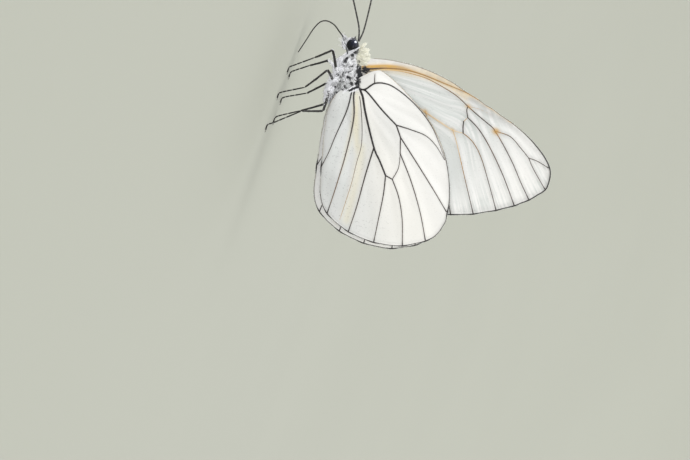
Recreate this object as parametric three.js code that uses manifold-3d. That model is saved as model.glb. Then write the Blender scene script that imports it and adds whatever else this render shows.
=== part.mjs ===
// A black-veined white butterfly, life size, standing with its wings closed over its back
// and its tongue lowered to the ground. Millimetres: head towards -Y, its left side +X, up +Z,
// with the ground at Z = 0 and the origin under the middle of the whole model.
//
// The body, legs and feelers are tubes swept along curves, the wings are thin bent plates.
// Neighbours are parted by thin cuts, so that no two solids overlap.

import * as THREE from 'three';
import { mergeVertices } from 'three/addons/utils/BufferGeometryUtils.js';
import Module from 'manifold-3d';

const wasm = await Module();
wasm.setup();

// ---------------------------------------------------------------- driving dimensions

const PLATE = 0.5;            // thickness of a wing
const CUT = 0.08;             // gap between neighbouring solids
const FORE_HINGE = [-4.3, 11.5];   // [aft, up] of the wing hinges on the thorax
const HIND_HINGE = [-1.4, 10.9];
const FORE_OUT = 0.45;        // how far out from the middle plane a closed forewing stands
const FORE_FLARE = 0.75;      // how much further out its hinge is
const HIND_OUT = 1.3;
const HIND_FLARE = 0.95;
const RIGHT_HIND_TURN = -3.7; // degrees that the right hindwing hangs lower than the left
const ABDOMEN = { wide: 1.5, high: 1.7, from: [0.6, 8.75], to: [13.3, 11.4] };
const FOOT_FLAT = 0.2;        // height of a foot's centre line over the ground
const FOOT_RADIUS = 0.27;

const COLOURS = {
  membrane: 0xecebe2,
  fur: 0xb9bbb8,
  collar: 0xdcdcc4,
  abdomen: 0x9a9c98,
  eye: 0x14151c,
  horn: 0x26221f,
  tongue: 0x2b241c,
};

function finish(colour, roughness) {
  return new THREE.MeshStandardMaterial({ color: COLOURS[colour], roughness, metalness: 0 });
}

const MATERIALS = {
  membrane: finish('membrane', 0.75),
  fur: finish('fur', 0.95),
  collar: finish('collar', 0.95),
  abdomen: finish('abdomen', 0.9),
  eye: finish('eye', 0.12),
  horn: finish('horn', 0.55),
  tongue: finish('tongue', 0.4),
};

// ---------------------------------------------------------------- solids

// A closed tube along a curve: halfWide and halfHigh give its section at a share t of the way.
function tube(curve, steps, sides, halfWide, halfHigh = halfWide) {
  const frames = curve.computeFrenetFrames(steps, false);
  const points = [];
  const faces = [];
  for (let i = 0; i <= steps; i++) {
    const centre = curve.getPoint(i / steps);
    for (let k = 0; k < sides; k++) {
      const angle = (2 * Math.PI * k) / sides;
      const across = frames.normals[i].clone().multiplyScalar(halfWide(i / steps) * Math.cos(angle));
      const over = frames.binormals[i].clone().multiplyScalar(halfHigh(i / steps) * Math.sin(angle));
      points.push(centre.clone().add(across).add(over));
    }
  }
  for (let i = 0; i < steps; i++) {
    for (let k = 0; k < sides; k++) {
      const a = i * sides + k;
      const b = i * sides + ((k + 1) % sides);
      faces.push(a, b, b + sides, a, b + sides, a + sides);
    }
  }
  const first = points.push(curve.getPoint(0)) - 1;
  const last = points.push(curve.getPoint(1)) - 1;
  for (let k = 0; k < sides; k++) {
    const next = (k + 1) % sides;
    faces.push(first, next, k, last, steps * sides + k, steps * sides + next);
  }
  return new THREE.BufferGeometry().setFromPoints(points).setIndex(faces);
}

function through(...points) {
  return new THREE.CatmullRomCurve3(points.map((p) => new THREE.Vector3(...p)));
}

// The section of an egg: full in the middle, round at both ends. Power 2 is an ellipse.
function egg(most, power = 2, grow = 0) {
  const end = 0.12;
  return (t) => most * Math.max(end, (1 - Math.abs(2 * t - 1) ** power) ** (1 / power)) + grow;
}

// Straight from one size to another, drawn in over the last bit at both ends.
function taper(from, to, grow = 0) {
  const ends = 0.06;
  const least = 0.55;
  return (t) => {
    const drawnIn = Math.min(1, least + ((1 - least) * Math.min(t, 1 - t)) / ends);
    return (from + (to - from) * t) * drawnIn + grow;
  };
}

function solid(geometry) {
  const bare = mergeVertices(new THREE.BufferGeometry()
    .setAttribute('position', geometry.getAttribute('position'))
    .setIndex(geometry.index), 1e-5);
  return new wasm.Manifold(new wasm.Mesh({
    numProp: 3,
    vertProperties: bare.getAttribute('position').array,
    triVerts: new Uint32Array(bare.index.array),
  }));
}

function geometryOf(body) {
  const mesh = body.getMesh();
  return new THREE.BufferGeometry()
    .setAttribute('position', new THREE.BufferAttribute(mesh.vertProperties, mesh.numProp))
    .setIndex(new THREE.BufferAttribute(mesh.triVerts, 1));
}

// geometry less the cutters. Crumbs that a cut leaves behind are dropped.
function cutBy(geometry, ...cutters) {
  let body = solid(geometry);
  for (const cutter of cutters) body = body.subtract(solid(cutter));
  const parts = body.decompose().sort((a, b) => b.volume() - a.volume());
  return geometryOf(parts[0]);
}

const butterfly = new THREE.Group();

function add(name, geometry, material) {
  const mesh = new THREE.Mesh(geometry, MATERIALS[material]);
  mesh.name = name;
  butterfly.add(mesh);
}

// ---------------------------------------------------------------- trunk

// Each part of the trunk with an optional growth, which makes the cutter for its neighbours.
function thorax(grow = 0) {
  const spine = through([0, -6.2, 8.95], [0, -4.4, 9.15], [0, -2.2, 9.1], [0, 0.1, 8.75], [0, 2.2, 8.5]);
  return tube(spine, 12, 16, egg(2.3, 2.5, grow), egg(2.65, 2.5, grow));
}

function collar(grow = 0) {
  const spine = through([0, -7.0, 8.5], [0, -6.3, 8.85], [0, -5.2, 9.2]);
  const rise = (from, to) => (t) => from + (to - from) * Math.sin((t * Math.PI) / 2) + grow;
  return tube(spine, 5, 14, rise(0.95, 1.75), rise(1.15, 2.1));
}

// Seven rings: the abdomen is a little drawn in where they meet.
function abdomen(grow = 0) {
  const { wide, high, from, to } = ABDOMEN;
  const spine = through([0, ...from], [0, 5.0, 9.85], [0, 9.4, 10.85], [0, ...to]);
  const rings = 7;
  const swell = (most) => (t) => {
    const ring = 0.97 + 0.03 * Math.abs(Math.sin(t * rings * Math.PI));
    const waist = Math.min(1, 0.72 + 1.1 * t);
    const tail = Math.sqrt(Math.max(0.05, 1 - (Math.max(0, t - 0.42) / 0.6) ** 2.2));
    return most * waist * tail * ring + grow;
  };
  return tube(spine, 14, 12, swell(wide), swell(high));
}

const HEAD = [-7.1, 8.15];     // [aft, up] of the middle of the head
const EYE_RADIUS = 1.0;
const EYE_OUT = 0.82;

function head(grow = 0) {
  const [aft, up] = HEAD;
  const spine = through([0, aft - 1.25, up - 0.15], [0, aft, up], [0, aft + 1.15, up + 0.15]);
  return tube(spine, 8, 12, egg(1.12, 2.2, grow), egg(1.32, 2.2, grow));
}

function eye(side, grow = 0) {
  const ball = new THREE.SphereGeometry(EYE_RADIUS + grow, 13, 9);
  ball.scale(0.85, 1, 1.02);
  ball.translate(side * EYE_OUT, -7.15, 8.25);
  return ball;
}

const SIDES = [['left', 1], ['right', -1]];

add('thorax', cutBy(thorax(), collar(CUT)), 'fur');
add('collar', cutBy(collar(), head(CUT), eye(1, CUT), eye(-1, CUT)), 'collar');
add('abdomen', cutBy(abdomen(), thorax(CUT)), 'abdomen');
add('head', cutBy(head(), eye(1, CUT), eye(-1, CUT)), 'fur');
for (const [name, side] of SIDES) add(`eye_${name}`, eye(side), 'eye');

// ---------------------------------------------------------------- feelers and mouth

// [out, aft, up] along each feeler. They spread forwards in a V, and the left one dips more.
const FEELERS = {
  left: [
    [0.45, -8.1, 8.85], [0.85, -10.0, 8.2], [1.75, -12.6, 6.65], [2.8, -15.4, 4.85], [4.0, -18.1, 3.25],
  ],
  right: [
    [-0.45, -8.1, 8.85], [-0.85, -9.9, 8.95], [-2.0, -12.9, 8.65], [-3.2, -16.6, 8.15], [-4.3, -19.9, 7.75],
  ],
};
const CLUB = 2.1;              // length of the club at the end of a feeler
const SHAFT_RADIUS = 0.25;

for (const [name, side] of SIDES) {
  const shaft = through(...FEELERS[name]);
  add(`antenna_${name}_shaft`, cutBy(tube(shaft, 12, 6, taper(0.3, SHAFT_RADIUS)), head(CUT)), 'horn');
  const tip = shaft.getPoint(1);
  const ahead = shaft.getTangent(1);
  const start = tip.clone().addScaledVector(ahead, CUT);
  const end = tip.clone().addScaledVector(ahead, CLUB).setX(tip.x + side * 0.5);
  const club = new THREE.CatmullRomCurve3([start, start.clone().lerp(end, 0.5), end]);
  const swell = (most) => (t) => most * (0.55 + 0.45 * Math.sin(Math.PI * Math.min(1, t * 0.95 + 0.02)));
  add(`antenna_${name}_club`, tube(club, 6, 8, swell(0.42), swell(0.32)), 'horn');
}

for (const [name, side] of SIDES) {
  const rise = [[0.44, -6.3, 7.3], [0.46, -6.9, 6.95], [0.46, -7.5, 6.75], [0.42, -8.1, 6.6]];
  const palp = through(...rise.map(([out, aft, up]) => [side * out, aft, up]));
  const geometry = tube(palp, 5, 8, taper(0.36, 0.26), taper(0.42, 0.32));
  add(`palp_${name}`, cutBy(geometry, head(CUT), collar(CUT), eye(side, CUT)), 'fur');
}

// The tongue leaves between the palps, arches forwards and comes back down to the ground.
const TONGUE = [
  [0, -7.6, 6.85], [0, -8.45, 5.5], [0, -9.2, 4.35], [0, -9.42, 3.1], [0, -8.9, 2.1],
  [0, -7.5, 1.45], [0, -5.6, 1.0], [0, -3.2, 0.5],
];

add('proboscis', cutBy(tube(through(...TONGUE), 18, 6, taper(0.28, 0.25)), head(CUT)), 'tongue');

// ---------------------------------------------------------------- legs

// Joints of each leg as [out, aft, up]: hip, end of coxa, knee, ankle, sole, toe.
// The left and right legs stand a little differently, as on a living insect.
const LEGS = {
  front_left: [
    [1.2, -3.3, 8.1], [1.8, -2.5, 7.1], [2.9, -5.2, 5.6], [3.2, -3.1, 3.35], [3.25, -0.9, 0.75], [3.3, 0.5],
  ],
  front_right: [
    [1.2, -3.4, 8.0], [1.8, -2.8, 6.9], [3.4, -3.9, 5.2], [3.6, -2.1, 2.6], [3.5, -0.6, 0.7], [3.4, 0.8],
  ],
  middle_left: [
    [1.3, -1.4, 8.0], [1.9, -0.9, 7.1], [4.6, -1.9, 6.0], [5.1, 1.9, 3.6], [5.1, 3.6, 0.8], [5.0, 4.9],
  ],
  middle_right: [
    [1.3, -1.2, 8.0], [1.9, -0.7, 7.1], [4.6, -0.4, 6.0], [5.1, 2.1, 3.6], [5.1, 3.7, 0.8], [5.0, 5.0],
  ],
  hind_left: [
    [1.2, 0.2, 7.8], [1.7, 0.9, 7.1], [3.3, 4.3, 7.45], [5.0, 5.5, 4.4], [5.2, 8.7, 0.9], [5.1, 10.2],
  ],
  hind_right: [
    [1.2, 0.1, 7.8], [1.7, 0.8, 7.1], [3.3, 2.9, 6.9], [5.0, 5.1, 3.6], [5.2, 6.9, 0.8], [5.1, 8.4],
  ],
};

// All that lies under the ground, to trim the soles flat.
const below = new THREE.BoxGeometry(40, 60, 4).translate(0, 0, -2);

for (const [leg, joints] of Object.entries(LEGS)) {
  const side = leg.endsWith('left') ? 1 : -1;
  const placed = joints.map(([out, aft, up = FOOT_FLAT]) => [side * out, aft, up]);
  const [hip, coxa, knee, ankle, sole, toe] = placed;
  const limb = (from, to, thick, thin, grow) =>
    tube(through(from, to.map((v, i) => (v + from[i]) / 2), to), 3, 8, taper(thick, thin, grow));
  const coxaLimb = (grow) => limb(hip, coxa, 0.5, 0.42, grow);
  const femur = (grow) => limb(coxa, knee, 0.33, 0.27, grow);
  const tibia = (grow) => limb(knee, ankle, 0.26, 0.25, grow);
  // The last joints of the foot lie along the ground.
  const heel = [sole[0] + (toe[0] - sole[0]) * 0.35, sole[1] + (toe[1] - sole[1]) * 0.35, FOOT_FLAT];
  const middle = ankle.map((v, i) => (v + sole[i]) / 2);
  const foot = tube(through(ankle, middle, sole, heel, toe), 8, 8, taper(0.25, FOOT_RADIUS));

  add(`leg_${leg}_coxa`, cutBy(coxaLimb(0), thorax(CUT)), 'fur');
  add(`leg_${leg}_femur`, cutBy(femur(0), coxaLimb(CUT), thorax(CUT)), 'horn');
  add(`leg_${leg}_tibia`, cutBy(tibia(0), femur(CUT)), 'horn');
  add(`leg_${leg}_foot`, cutBy(foot, tibia(CUT), below), 'horn');
}

// ---------------------------------------------------------------- wings

// Outlines as [aft, up] from the hinge: along the front edge, round the tip, back to the body.
const FORE_OUTLINE = [
  [-1.7, 0.0], [-2.6, 3.1], [-3.1, 7.6], [-2.8, 12.2], [-1.7, 17.2], [0.6, 25.6], [2.9, 30.2],
  [5.0, 32.4], [7.0, 33.0], [9.0, 32.4], [12.3, 29.1], [15.7, 23.5], [17.4, 18.6], [17.3, 16.4],
  [14.3, 11.6], [8.2, 5.2], [1.5, 0.1],
];
const HIND_OUTLINE = [
  [-1.3, 0.2], [-3.0, 1.9], [-3.2, 3.7], [-1.4, 7.9], [1.7, 13.0], [6.2, 17.1], [11.5, 19.7],
  [14.2, 20.2], [15.8, 20.4], [18.6, 19.3], [21.3, 15.4], [22.3, 10.9], [22.1, 6.7], [20.7, 2.8],
  [18.4, 0.6], [13.9, -0.9], [8.3, -2.3], [5.0, -2.9], [2.6, -2.4], [0.6, -0.9],
];
const FORE_ROOT = [0.1, -0.7];     // where a wing's blade starts, under the hinge
const HIND_ROOT = [0.2, -0.5];
const EDGE_STEPS = 35;
const RINGS = [0.13, 0.3, 0.52, 0.76, 1];

function bell(distance, width) {
  return Math.exp(-((distance / width) ** 2));
}

// How far a wing's middle surface stands out from the middle plane at [aft, up] in the model.
function foreOut(aft, up) {
  return FORE_OUT + FORE_FLARE * bell(Math.hypot(aft - FORE_HINGE[0], up - FORE_HINGE[1]), 4.2);
}

// The hindwings also part around the abdomen, which lies between them.
function hindOut(aft, up) {
  const { wide, from, to } = ABDOMEN;
  const slope = (to[1] - from[1]) / (to[0] - from[0]);
  const beside = Math.abs(up - from[1] - slope * (aft - from[0])) / Math.hypot(1, slope);
  const past = Math.max(0, aft - to[0] + 1.5);
  const room = (wide + PLATE / 2 + 0.3 - HIND_OUT) * bell(beside, 2.6) * bell(past, 4);
  const flare = HIND_FLARE * bell(Math.hypot(aft - HIND_HINGE[0], up - HIND_HINGE[1]), 6.5);
  return HIND_OUT + Math.max(room, flare) + 0.25 * Math.min(room, flare);
}

// A bent plate: a fan of rings from the root to the outline, with two faces and an edge.
function wing(outline, root, hinge, out, side, turn = 0) {
  const curve = new THREE.SplineCurve(outline.map((p) => new THREE.Vector2(...p)));
  const edge = curve.getSpacedPoints(EDGE_STEPS);
  const base = new THREE.Vector2(...root);
  const origin = new THREE.Vector2();
  const points = [];
  const faces = [];
  const place = (flat, face) => {
    const turned = flat.clone().rotateAround(origin, THREE.MathUtils.degToRad(turn));
    const [aft, up] = [turned.x + hinge[0], turned.y + hinge[1]];
    points.push(new THREE.Vector3(side * (out(aft, up) + (face * PLATE) / 2), aft, up));
  };
  const columns = edge.length;
  for (const face of [1, -1]) {
    place(base, face);
    for (const share of RINGS) for (const p of edge) place(base.clone().lerp(p, share), face);
  }
  const half = points.length / 2;
  const at = (ring, column) => 1 + ring * columns + column;
  // A right wing is the mirror image of a left one, so its faces are wound the other way.
  const put = (a, b, c) => faces.push(...(side > 0 ? [a, b, c] : [a, c, b]));
  for (let k = 0; k + 1 < columns; k++) {
    put(0, at(0, k + 1), at(0, k));
    put(half, half + at(0, k), half + at(0, k + 1));
    for (let r = 0; r + 1 < RINGS.length; r++) {
      const [a, b, c, d] = [at(r, k), at(r, k + 1), at(r + 1, k + 1), at(r + 1, k)];
      put(a, b, c);
      put(a, c, d);
      put(half + a, half + c, half + b);
      put(half + a, half + d, half + c);
    }
  }
  // The edge runs root, front edge, margin, inner edge, root.
  const rim = [0];
  for (let r = 0; r < RINGS.length; r++) rim.push(at(r, 0));
  for (let k = 1; k < columns; k++) rim.push(at(RINGS.length - 1, k));
  for (let r = RINGS.length - 2; r >= 0; r--) rim.push(at(r, columns - 1));
  rim.forEach((a, i) => {
    const b = rim[(i + 1) % rim.length];
    put(a, b, half + b);
    put(a, half + b, half + a);
  });
  return new THREE.BufferGeometry().setFromPoints(points).setIndex(faces);
}

for (const [name, side] of SIDES) {
  const fore = wing(FORE_OUTLINE, FORE_ROOT, FORE_HINGE, foreOut, side);
  add(`forewing_${name}`, cutBy(fore, thorax(CUT), collar(CUT)), 'membrane');
  const turn = side < 0 ? RIGHT_HIND_TURN : 0;
  const hind = wing(HIND_OUTLINE, HIND_ROOT, HIND_HINGE, hindOut, side, turn);
  add(`hindwing_${name}`, cutBy(hind, thorax(CUT), abdomen(CUT)), 'membrane');
}

// ---------------------------------------------------------------- origin

// Moves the model so that the origin lies under the middle of its box.
const middle = new THREE.Box3().setFromObject(butterfly, true).getCenter(new THREE.Vector3());
butterfly.position.set(-middle.x, -middle.y, 0);

export default butterfly;
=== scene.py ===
"""The looks of a black-veined white butterfly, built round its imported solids.

Shapes are worked out in millimetres as (out, aft, up): out from the middle plane towards the
butterfly's left, aft towards its tail and up from the ground. They are moved into the row frame,
in metres, as each piece is made.
"""

import math

import bpy
import numpy as np
from mathutils import Matrix, Vector


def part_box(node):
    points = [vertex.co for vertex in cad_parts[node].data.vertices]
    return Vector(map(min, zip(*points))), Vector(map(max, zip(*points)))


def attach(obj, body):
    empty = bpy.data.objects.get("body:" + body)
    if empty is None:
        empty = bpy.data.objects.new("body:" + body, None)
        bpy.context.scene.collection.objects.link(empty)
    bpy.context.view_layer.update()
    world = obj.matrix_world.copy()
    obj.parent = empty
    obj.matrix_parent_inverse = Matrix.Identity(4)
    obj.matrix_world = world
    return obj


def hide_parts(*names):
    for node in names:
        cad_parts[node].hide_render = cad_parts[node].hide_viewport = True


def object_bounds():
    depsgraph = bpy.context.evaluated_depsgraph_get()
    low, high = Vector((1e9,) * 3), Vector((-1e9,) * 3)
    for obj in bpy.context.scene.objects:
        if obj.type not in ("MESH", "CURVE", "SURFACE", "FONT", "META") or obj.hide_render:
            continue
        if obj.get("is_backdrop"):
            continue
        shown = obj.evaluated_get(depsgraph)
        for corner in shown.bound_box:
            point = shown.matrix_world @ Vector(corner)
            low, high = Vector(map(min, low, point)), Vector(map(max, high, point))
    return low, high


bl_info = {
    "name": "Black-veined white",
    "version": (1, 0, 0),
    "blender": (4, 5, 0),
    "location": "3D View > Sidebar > Butterfly",
    "description": "Builds the wings, body, coat and limbs of a black-veined white butterfly",
    "category": "Object",
}

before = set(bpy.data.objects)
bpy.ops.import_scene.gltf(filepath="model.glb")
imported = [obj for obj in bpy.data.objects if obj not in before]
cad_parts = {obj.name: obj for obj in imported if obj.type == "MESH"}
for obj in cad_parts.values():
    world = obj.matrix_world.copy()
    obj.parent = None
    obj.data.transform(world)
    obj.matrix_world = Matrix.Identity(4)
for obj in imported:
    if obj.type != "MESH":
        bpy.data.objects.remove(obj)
CAD_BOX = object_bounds()

MM = 0.001
SIDES = (("left", 1), ("right", -1))
BOTH = (1, -1)  # the left side, and the right side as its mirror image
EYES = "eyes"  # the collection that the spark lights
EYE = np.array([0.82, -7.12, 8.15])  # middle of the left eye
EYE_SIZE = (0.82, 0.95, 0.97)  # half its width, length and height
SOLID_EYE_AFT = -7.15  # where the solids' own drawing has it
_low, _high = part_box("eye_left")
SHIFT = np.array([0.0, (_low.y + _high.y) / 2 / MM - SOLID_EYE_AFT, 0.0])  # into the row frame


# ------------------------------------------------------------------ numbers and lines


def unit(v):
    """The same directions at length 1."""
    return v / np.maximum(np.linalg.norm(v, axis=-1, keepdims=True), 1e-12)


def bell(distance, width):
    """1 at no distance, and less and less over a few widths."""
    return np.exp(-((distance / width) ** 2))


def ease(low, high, value):
    """0 below low, 1 above high, and smooth between them."""
    t = np.clip((value - low) / (high - low), 0, 1)
    return t * t * (3 - 2 * t)


def evenly(line, count):
    """count points at equal steps along a line of points."""
    step = np.linalg.norm(np.diff(line, axis=0), axis=1)
    along = np.concatenate([[0], np.cumsum(step)])
    at = np.linspace(0, along[-1], count)
    return np.column_stack([np.interp(at, along, c) for c in line.T])


def smooth_line(points, count):
    """count even steps along the smooth line through a few points."""
    p = np.asarray(points, float)
    p = np.vstack([p[:1], p, p[-1:]])
    t = np.linspace(0, len(p) - 3, 40 * (len(p) - 3) + 1)
    i = np.minimum(t.astype(int), len(p) - 4)
    f = (t - i)[:, None]
    a, b, c, d = (p[i + k] for k in range(4))
    curve = b + 0.5 * f * (c - a + f * (2 * a - 5 * b + 4 * c - d + f * (3 * (b - c) + d - a)))
    return evenly(curve, count)


def distance_to(points, line):
    """Distance from each flat point to a line of flat points."""
    a, b = line[:-1], line[1:]
    d = b - a
    size = np.maximum((d * d).sum(1), 1e-12)
    least = np.empty(len(points))
    for k in range(0, len(points), 4000):
        p = points[k : k + 4000, None] - a
        t = np.clip((p * d).sum(2) / size, 0, 1)
        least[k : k + 4000] = np.linalg.norm(p - t[..., None] * d, axis=2).min(1)
    return least


# ------------------------------------------------------------------ surfaces and pieces


class Shape:
    """Vertices in millimetres, four- and three-cornered faces, values and face coordinates."""

    def __init__(self, verts, quads=(), tris=(), values=None, quad_uv=None, tri_uv=None):
        self.verts = np.asarray(verts, float)
        self.quads = np.asarray(quads, int).reshape(-1, 4)
        self.tris = np.asarray(tris, int).reshape(-1, 3)
        self.values = values or {}
        self.quad_uv, self.tri_uv = quad_uv, tri_uv

    def mirrored(self, side):
        """The same shape on the butterfly's other side if side is -1."""
        if side > 0:
            return self
        flip = np.array([-1, 1, 1])
        uv = [None if u is None else u[:, ::-1] for u in (self.quad_uv, self.tri_uv)]
        return Shape(self.verts * flip, self.quads[:, ::-1], self.tris[:, ::-1], self.values, *uv)


def join(shapes):
    """Several shapes as one."""
    starts = np.cumsum([0] + [len(s.verts) for s in shapes])
    values = {k: np.concatenate([s.values[k] for s in shapes]) for k in shapes[0].values}
    uv = [None, None]
    if shapes[0].quad_uv is not None:
        uv = [np.concatenate([getattr(s, k) for s in shapes]) for k in ("quad_uv", "tri_uv")]
    return Shape(
        np.concatenate([s.verts for s in shapes]),
        np.concatenate([s.quads + n for s, n in zip(shapes, starts)]),
        np.concatenate([s.tris + n for s, n in zip(shapes, starts)]),
        values,
        *uv,
    )


def between_rings(n):
    """Four-cornered faces between rings of vertices that close on themselves."""
    a, b = n[:-1], n[1:]
    return np.stack([a, b, np.roll(b, -1, 1), np.roll(a, -1, 1)], axis=2).reshape(-1, 4)


def fan(middle, ring):
    """Three-cornered faces between a vertex and a ring of vertices."""
    return np.stack([np.full(len(ring), middle), ring, np.roll(ring, -1)], axis=1)


class Surface:
    """A grid of points, rings by columns, that closes on itself across its columns."""

    def __init__(self, grid, closed=True):
        self.grid, self.closed = grid, closed
        self.along = np.gradient(grid, axis=0)
        if closed:
            self.across = (np.roll(grid, -1, 1) - np.roll(grid, 1, 1)) / 2
        else:
            self.across = np.gradient(grid, axis=1)
        normal = np.cross(self.across, self.along)
        self.area = np.linalg.norm(normal, axis=2)
        self.normal = unit(normal)

    def shape(self, **values):
        """The surface with its two ends closed. Values are given for each ring and column."""
        rings, columns = self.grid.shape[:2]
        n = np.arange(rings * columns).reshape(rings, columns)
        tris = np.concatenate([fan(n.size, n[0]), fan(n.size + 1, n[-1])[:, [0, 2, 1]]])
        verts = np.vstack([self.grid.reshape(-1, 3), self.grid[0].mean(0), self.grid[-1].mean(0)])
        kept = {}
        for name, v in values.items():
            v = np.broadcast_to(v, (rings, columns))
            kept[name] = np.concatenate([v.ravel(), [v[0].mean(), v[-1].mean()]])
        return Shape(verts, between_rings(n), tris, kept)

    def sow(self, rng, count, weight=None):
        """count random roots: where they are, the outward way, the way along, and their place."""
        share = self.area if weight is None else self.area * weight
        cell = rng.choice(share.size, count, p=(share / share.sum()).ravel())
        i, j = np.unravel_index(cell, share.shape)
        fi, fj = rng.uniform(-0.5, 0.5, (2, count))
        at = self.grid[i, j] + fi[:, None] * self.along[i, j] + fj[:, None] * self.across[i, j]
        place = np.column_stack([(i + fi) / share.shape[0], (j + fj) / share.shape[1]])
        return at, self.normal[i, j], unit(self.along[i, j]), np.clip(place, 0, 1)


def sweep(line, wide, high=None, sides=16, facing=(1, 0, 0), lobe=None):
    """A tube along line with half sizes wide and high. facing is the way that wide is measured."""
    count = len(line)
    wide = np.broadcast_to(wide, count)
    high = wide if high is None else np.broadcast_to(high, count)
    tangent = unit(np.gradient(line, axis=0))
    across = np.empty_like(line)
    way = np.asarray(facing, float)
    for i in range(count):
        way = unit(way - tangent[i] * (way @ tangent[i]))
        across[i] = way
    over = np.cross(tangent, across)
    angle = np.linspace(0, 2 * math.pi, sides, endpoint=False)
    swell = np.ones(sides) if lobe is None else lobe(angle)
    c, s = (swell * np.cos(angle))[None, :, None], (swell * np.sin(angle))[None, :, None]
    grid = line[:, None] + wide[:, None, None] * c * across[:, None]
    return Surface(grid + high[:, None, None] * s * over[:, None])


def rounded(count, start=1.0, end=1.0, ends=0.06):
    """Half sizes from start to end along a tube, drawn in round at both tips."""
    t = np.linspace(0, 1, count)
    tip = np.clip(np.minimum(t, 1 - t) / ends, 0, 1)
    return (start + (end - start) * t) * np.sqrt(np.maximum(1 - (1 - tip) ** 2, 0.02))


def piece(name, shape, material, slot, *nodes):
    """Makes a mesh object in the row frame that rides on the butterfly and stands for nodes."""
    mesh = bpy.data.meshes.new(name)
    quads, tris = len(shape.quads), len(shape.tris)
    mesh.vertices.add(len(shape.verts))
    mesh.vertices.foreach_set("co", ((shape.verts + SHIFT) * MM).ravel())
    mesh.loops.add(4 * quads + 3 * tris)
    corners = np.concatenate([shape.quads.ravel(), shape.tris.ravel()])
    mesh.loops.foreach_set("vertex_index", corners)
    mesh.polygons.add(quads + tris)
    starts = np.concatenate([4 * np.arange(quads), 4 * quads + 3 * np.arange(tris)])
    mesh.polygons.foreach_set("loop_start", starts)
    mesh.update(calc_edges=True)
    if mesh.validate():
        raise RuntimeError(f"{name} had faces that had to be mended")
    for key, value in shape.values.items():
        kind = "FLOAT_VECTOR" if value.ndim == 2 else "FLOAT"
        layer = mesh.attributes.new(key, kind, "POINT")
        layer.data.foreach_set("vector" if value.ndim == 2 else "value", value.ravel())
    if shape.quad_uv is not None:
        layer = mesh.uv_layers.new(name="OFBake")
        layer.uv.foreach_set("vector", np.concatenate([shape.quad_uv.ravel(), shape.tri_uv.ravel()]))
    mesh.shade_smooth()
    mesh.materials.append(material)
    made = bpy.data.objects.new(name, mesh)
    bpy.context.scene.collection.objects.link(made)
    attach(made, "root")
    if nodes:
        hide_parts(*nodes)
    return made


# ------------------------------------------------------------------ hair and scales


PATCH = 0.003  # how wide a hair's own patch of the coat map is
ROOT_DEPTH = 0.06  # how far below the skin a hair starts


def hair_faces(segments):
    """The faces of one hair: their vertices, and their corners on a square of its own."""
    k, j = (v.ravel() for v in np.mgrid[0 : segments - 1, 0:3])
    a, b = 3 * k + j, 3 * k + (j + 1) % 3
    quads = np.stack([a, b, b + 3, a + 3], axis=1)
    corners = ((0, 0), (0, 1), (1, 1), (1, 0))
    quad_uv = [np.stack([(j + dj) / 3, (k + dk) / segments], axis=1) for dk, dj in corners]
    top, third, low = 3 * (segments - 1), 1 / 3, 1 - 1 / segments
    tris = [[top + n, top + (n + 1) % 3, 3 * segments] for n in range(3)]
    tri_uv = [[[n * third, low], [(n + 1) * third, low], [(n + 0.5) * third, 1]] for n in range(3)]
    tris, tri_uv = tris + [[0, 2, 1]], tri_uv + [[[0, 0], [1, 0], [0.5, 0.3]]]  # the last closes the root
    return quads, np.array(tris), np.stack(quad_uv, axis=1), np.array(tri_uv)


def strands(rng, place, root, middle, tip, wide, segments=3, flat=1.0, facing=None, tone=None):
    """Closed three-sided hairs that bend from root past middle to tip and taper to a point.

    Each hair's faces lie on its own small patch of the map, round its root's place.
    """
    count = len(root)
    t = np.arange(segments) / segments
    b0, b1, b2 = (1 - t) ** 2, 2 * t * (1 - t), t**2
    line = b0[:, None, None] * root + b1[:, None, None] * middle + b2[:, None, None] * tip
    way = unit(tip - root)
    if facing is None:
        facing = rng.normal(size=(count, 3))
    u = unit(np.cross(way, facing))
    v = np.cross(way, u)
    angle = np.arange(3) * 2 * math.pi / 3 + math.pi / 2
    width = (np.broadcast_to(wide, count) * (1 - t[:, None] ** 1.6 * 0.75))[..., None, None]
    ring = np.cos(angle)[:, None] * u[None, :, None] + flat * np.sin(angle)[:, None] * v[None, :, None]
    grid = line[:, :, None] + width * ring
    verts = np.concatenate([grid.transpose(1, 0, 2, 3).reshape(count, -1, 3), tip[:, None]], axis=1)
    each = verts.shape[1]
    base = (np.arange(count) * each)[:, None, None]
    quads, tris, quad_uv, tri_uv = hair_faces(segments)
    corner = (0.01 + place * 0.97)[:, None, None]
    if tone is None:
        tone = rng.uniform(0, 1, count)
    reach = np.tile(np.append(np.repeat(t, 3), 1.0), count)
    return Shape(
        verts.reshape(-1, 3),
        (base + quads).reshape(-1, 4),
        (base + tris).reshape(-1, 3),
        {"tone": np.repeat(tone, each), "reach": reach},
        (corner + PATCH * quad_uv).reshape(-1, 4, 2),
        (corner + PATCH * tri_uv).reshape(-1, 3, 2),
    )


def leaders(rng, root, size):
    """For each root, the nearest of the few roots that lead a tuft of about size hairs."""
    count = max(4, int(len(root) / size))
    chief = rng.choice(len(root), min(count, len(root)), replace=False)
    nearest = np.empty(len(root), int)
    for k in range(0, len(root), 2000):
        d = root[k : k + 2000, None] - root[chief]
        nearest[k : k + 2000] = (d * d).sum(2).argmin(1)
    return chief[nearest]


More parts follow.
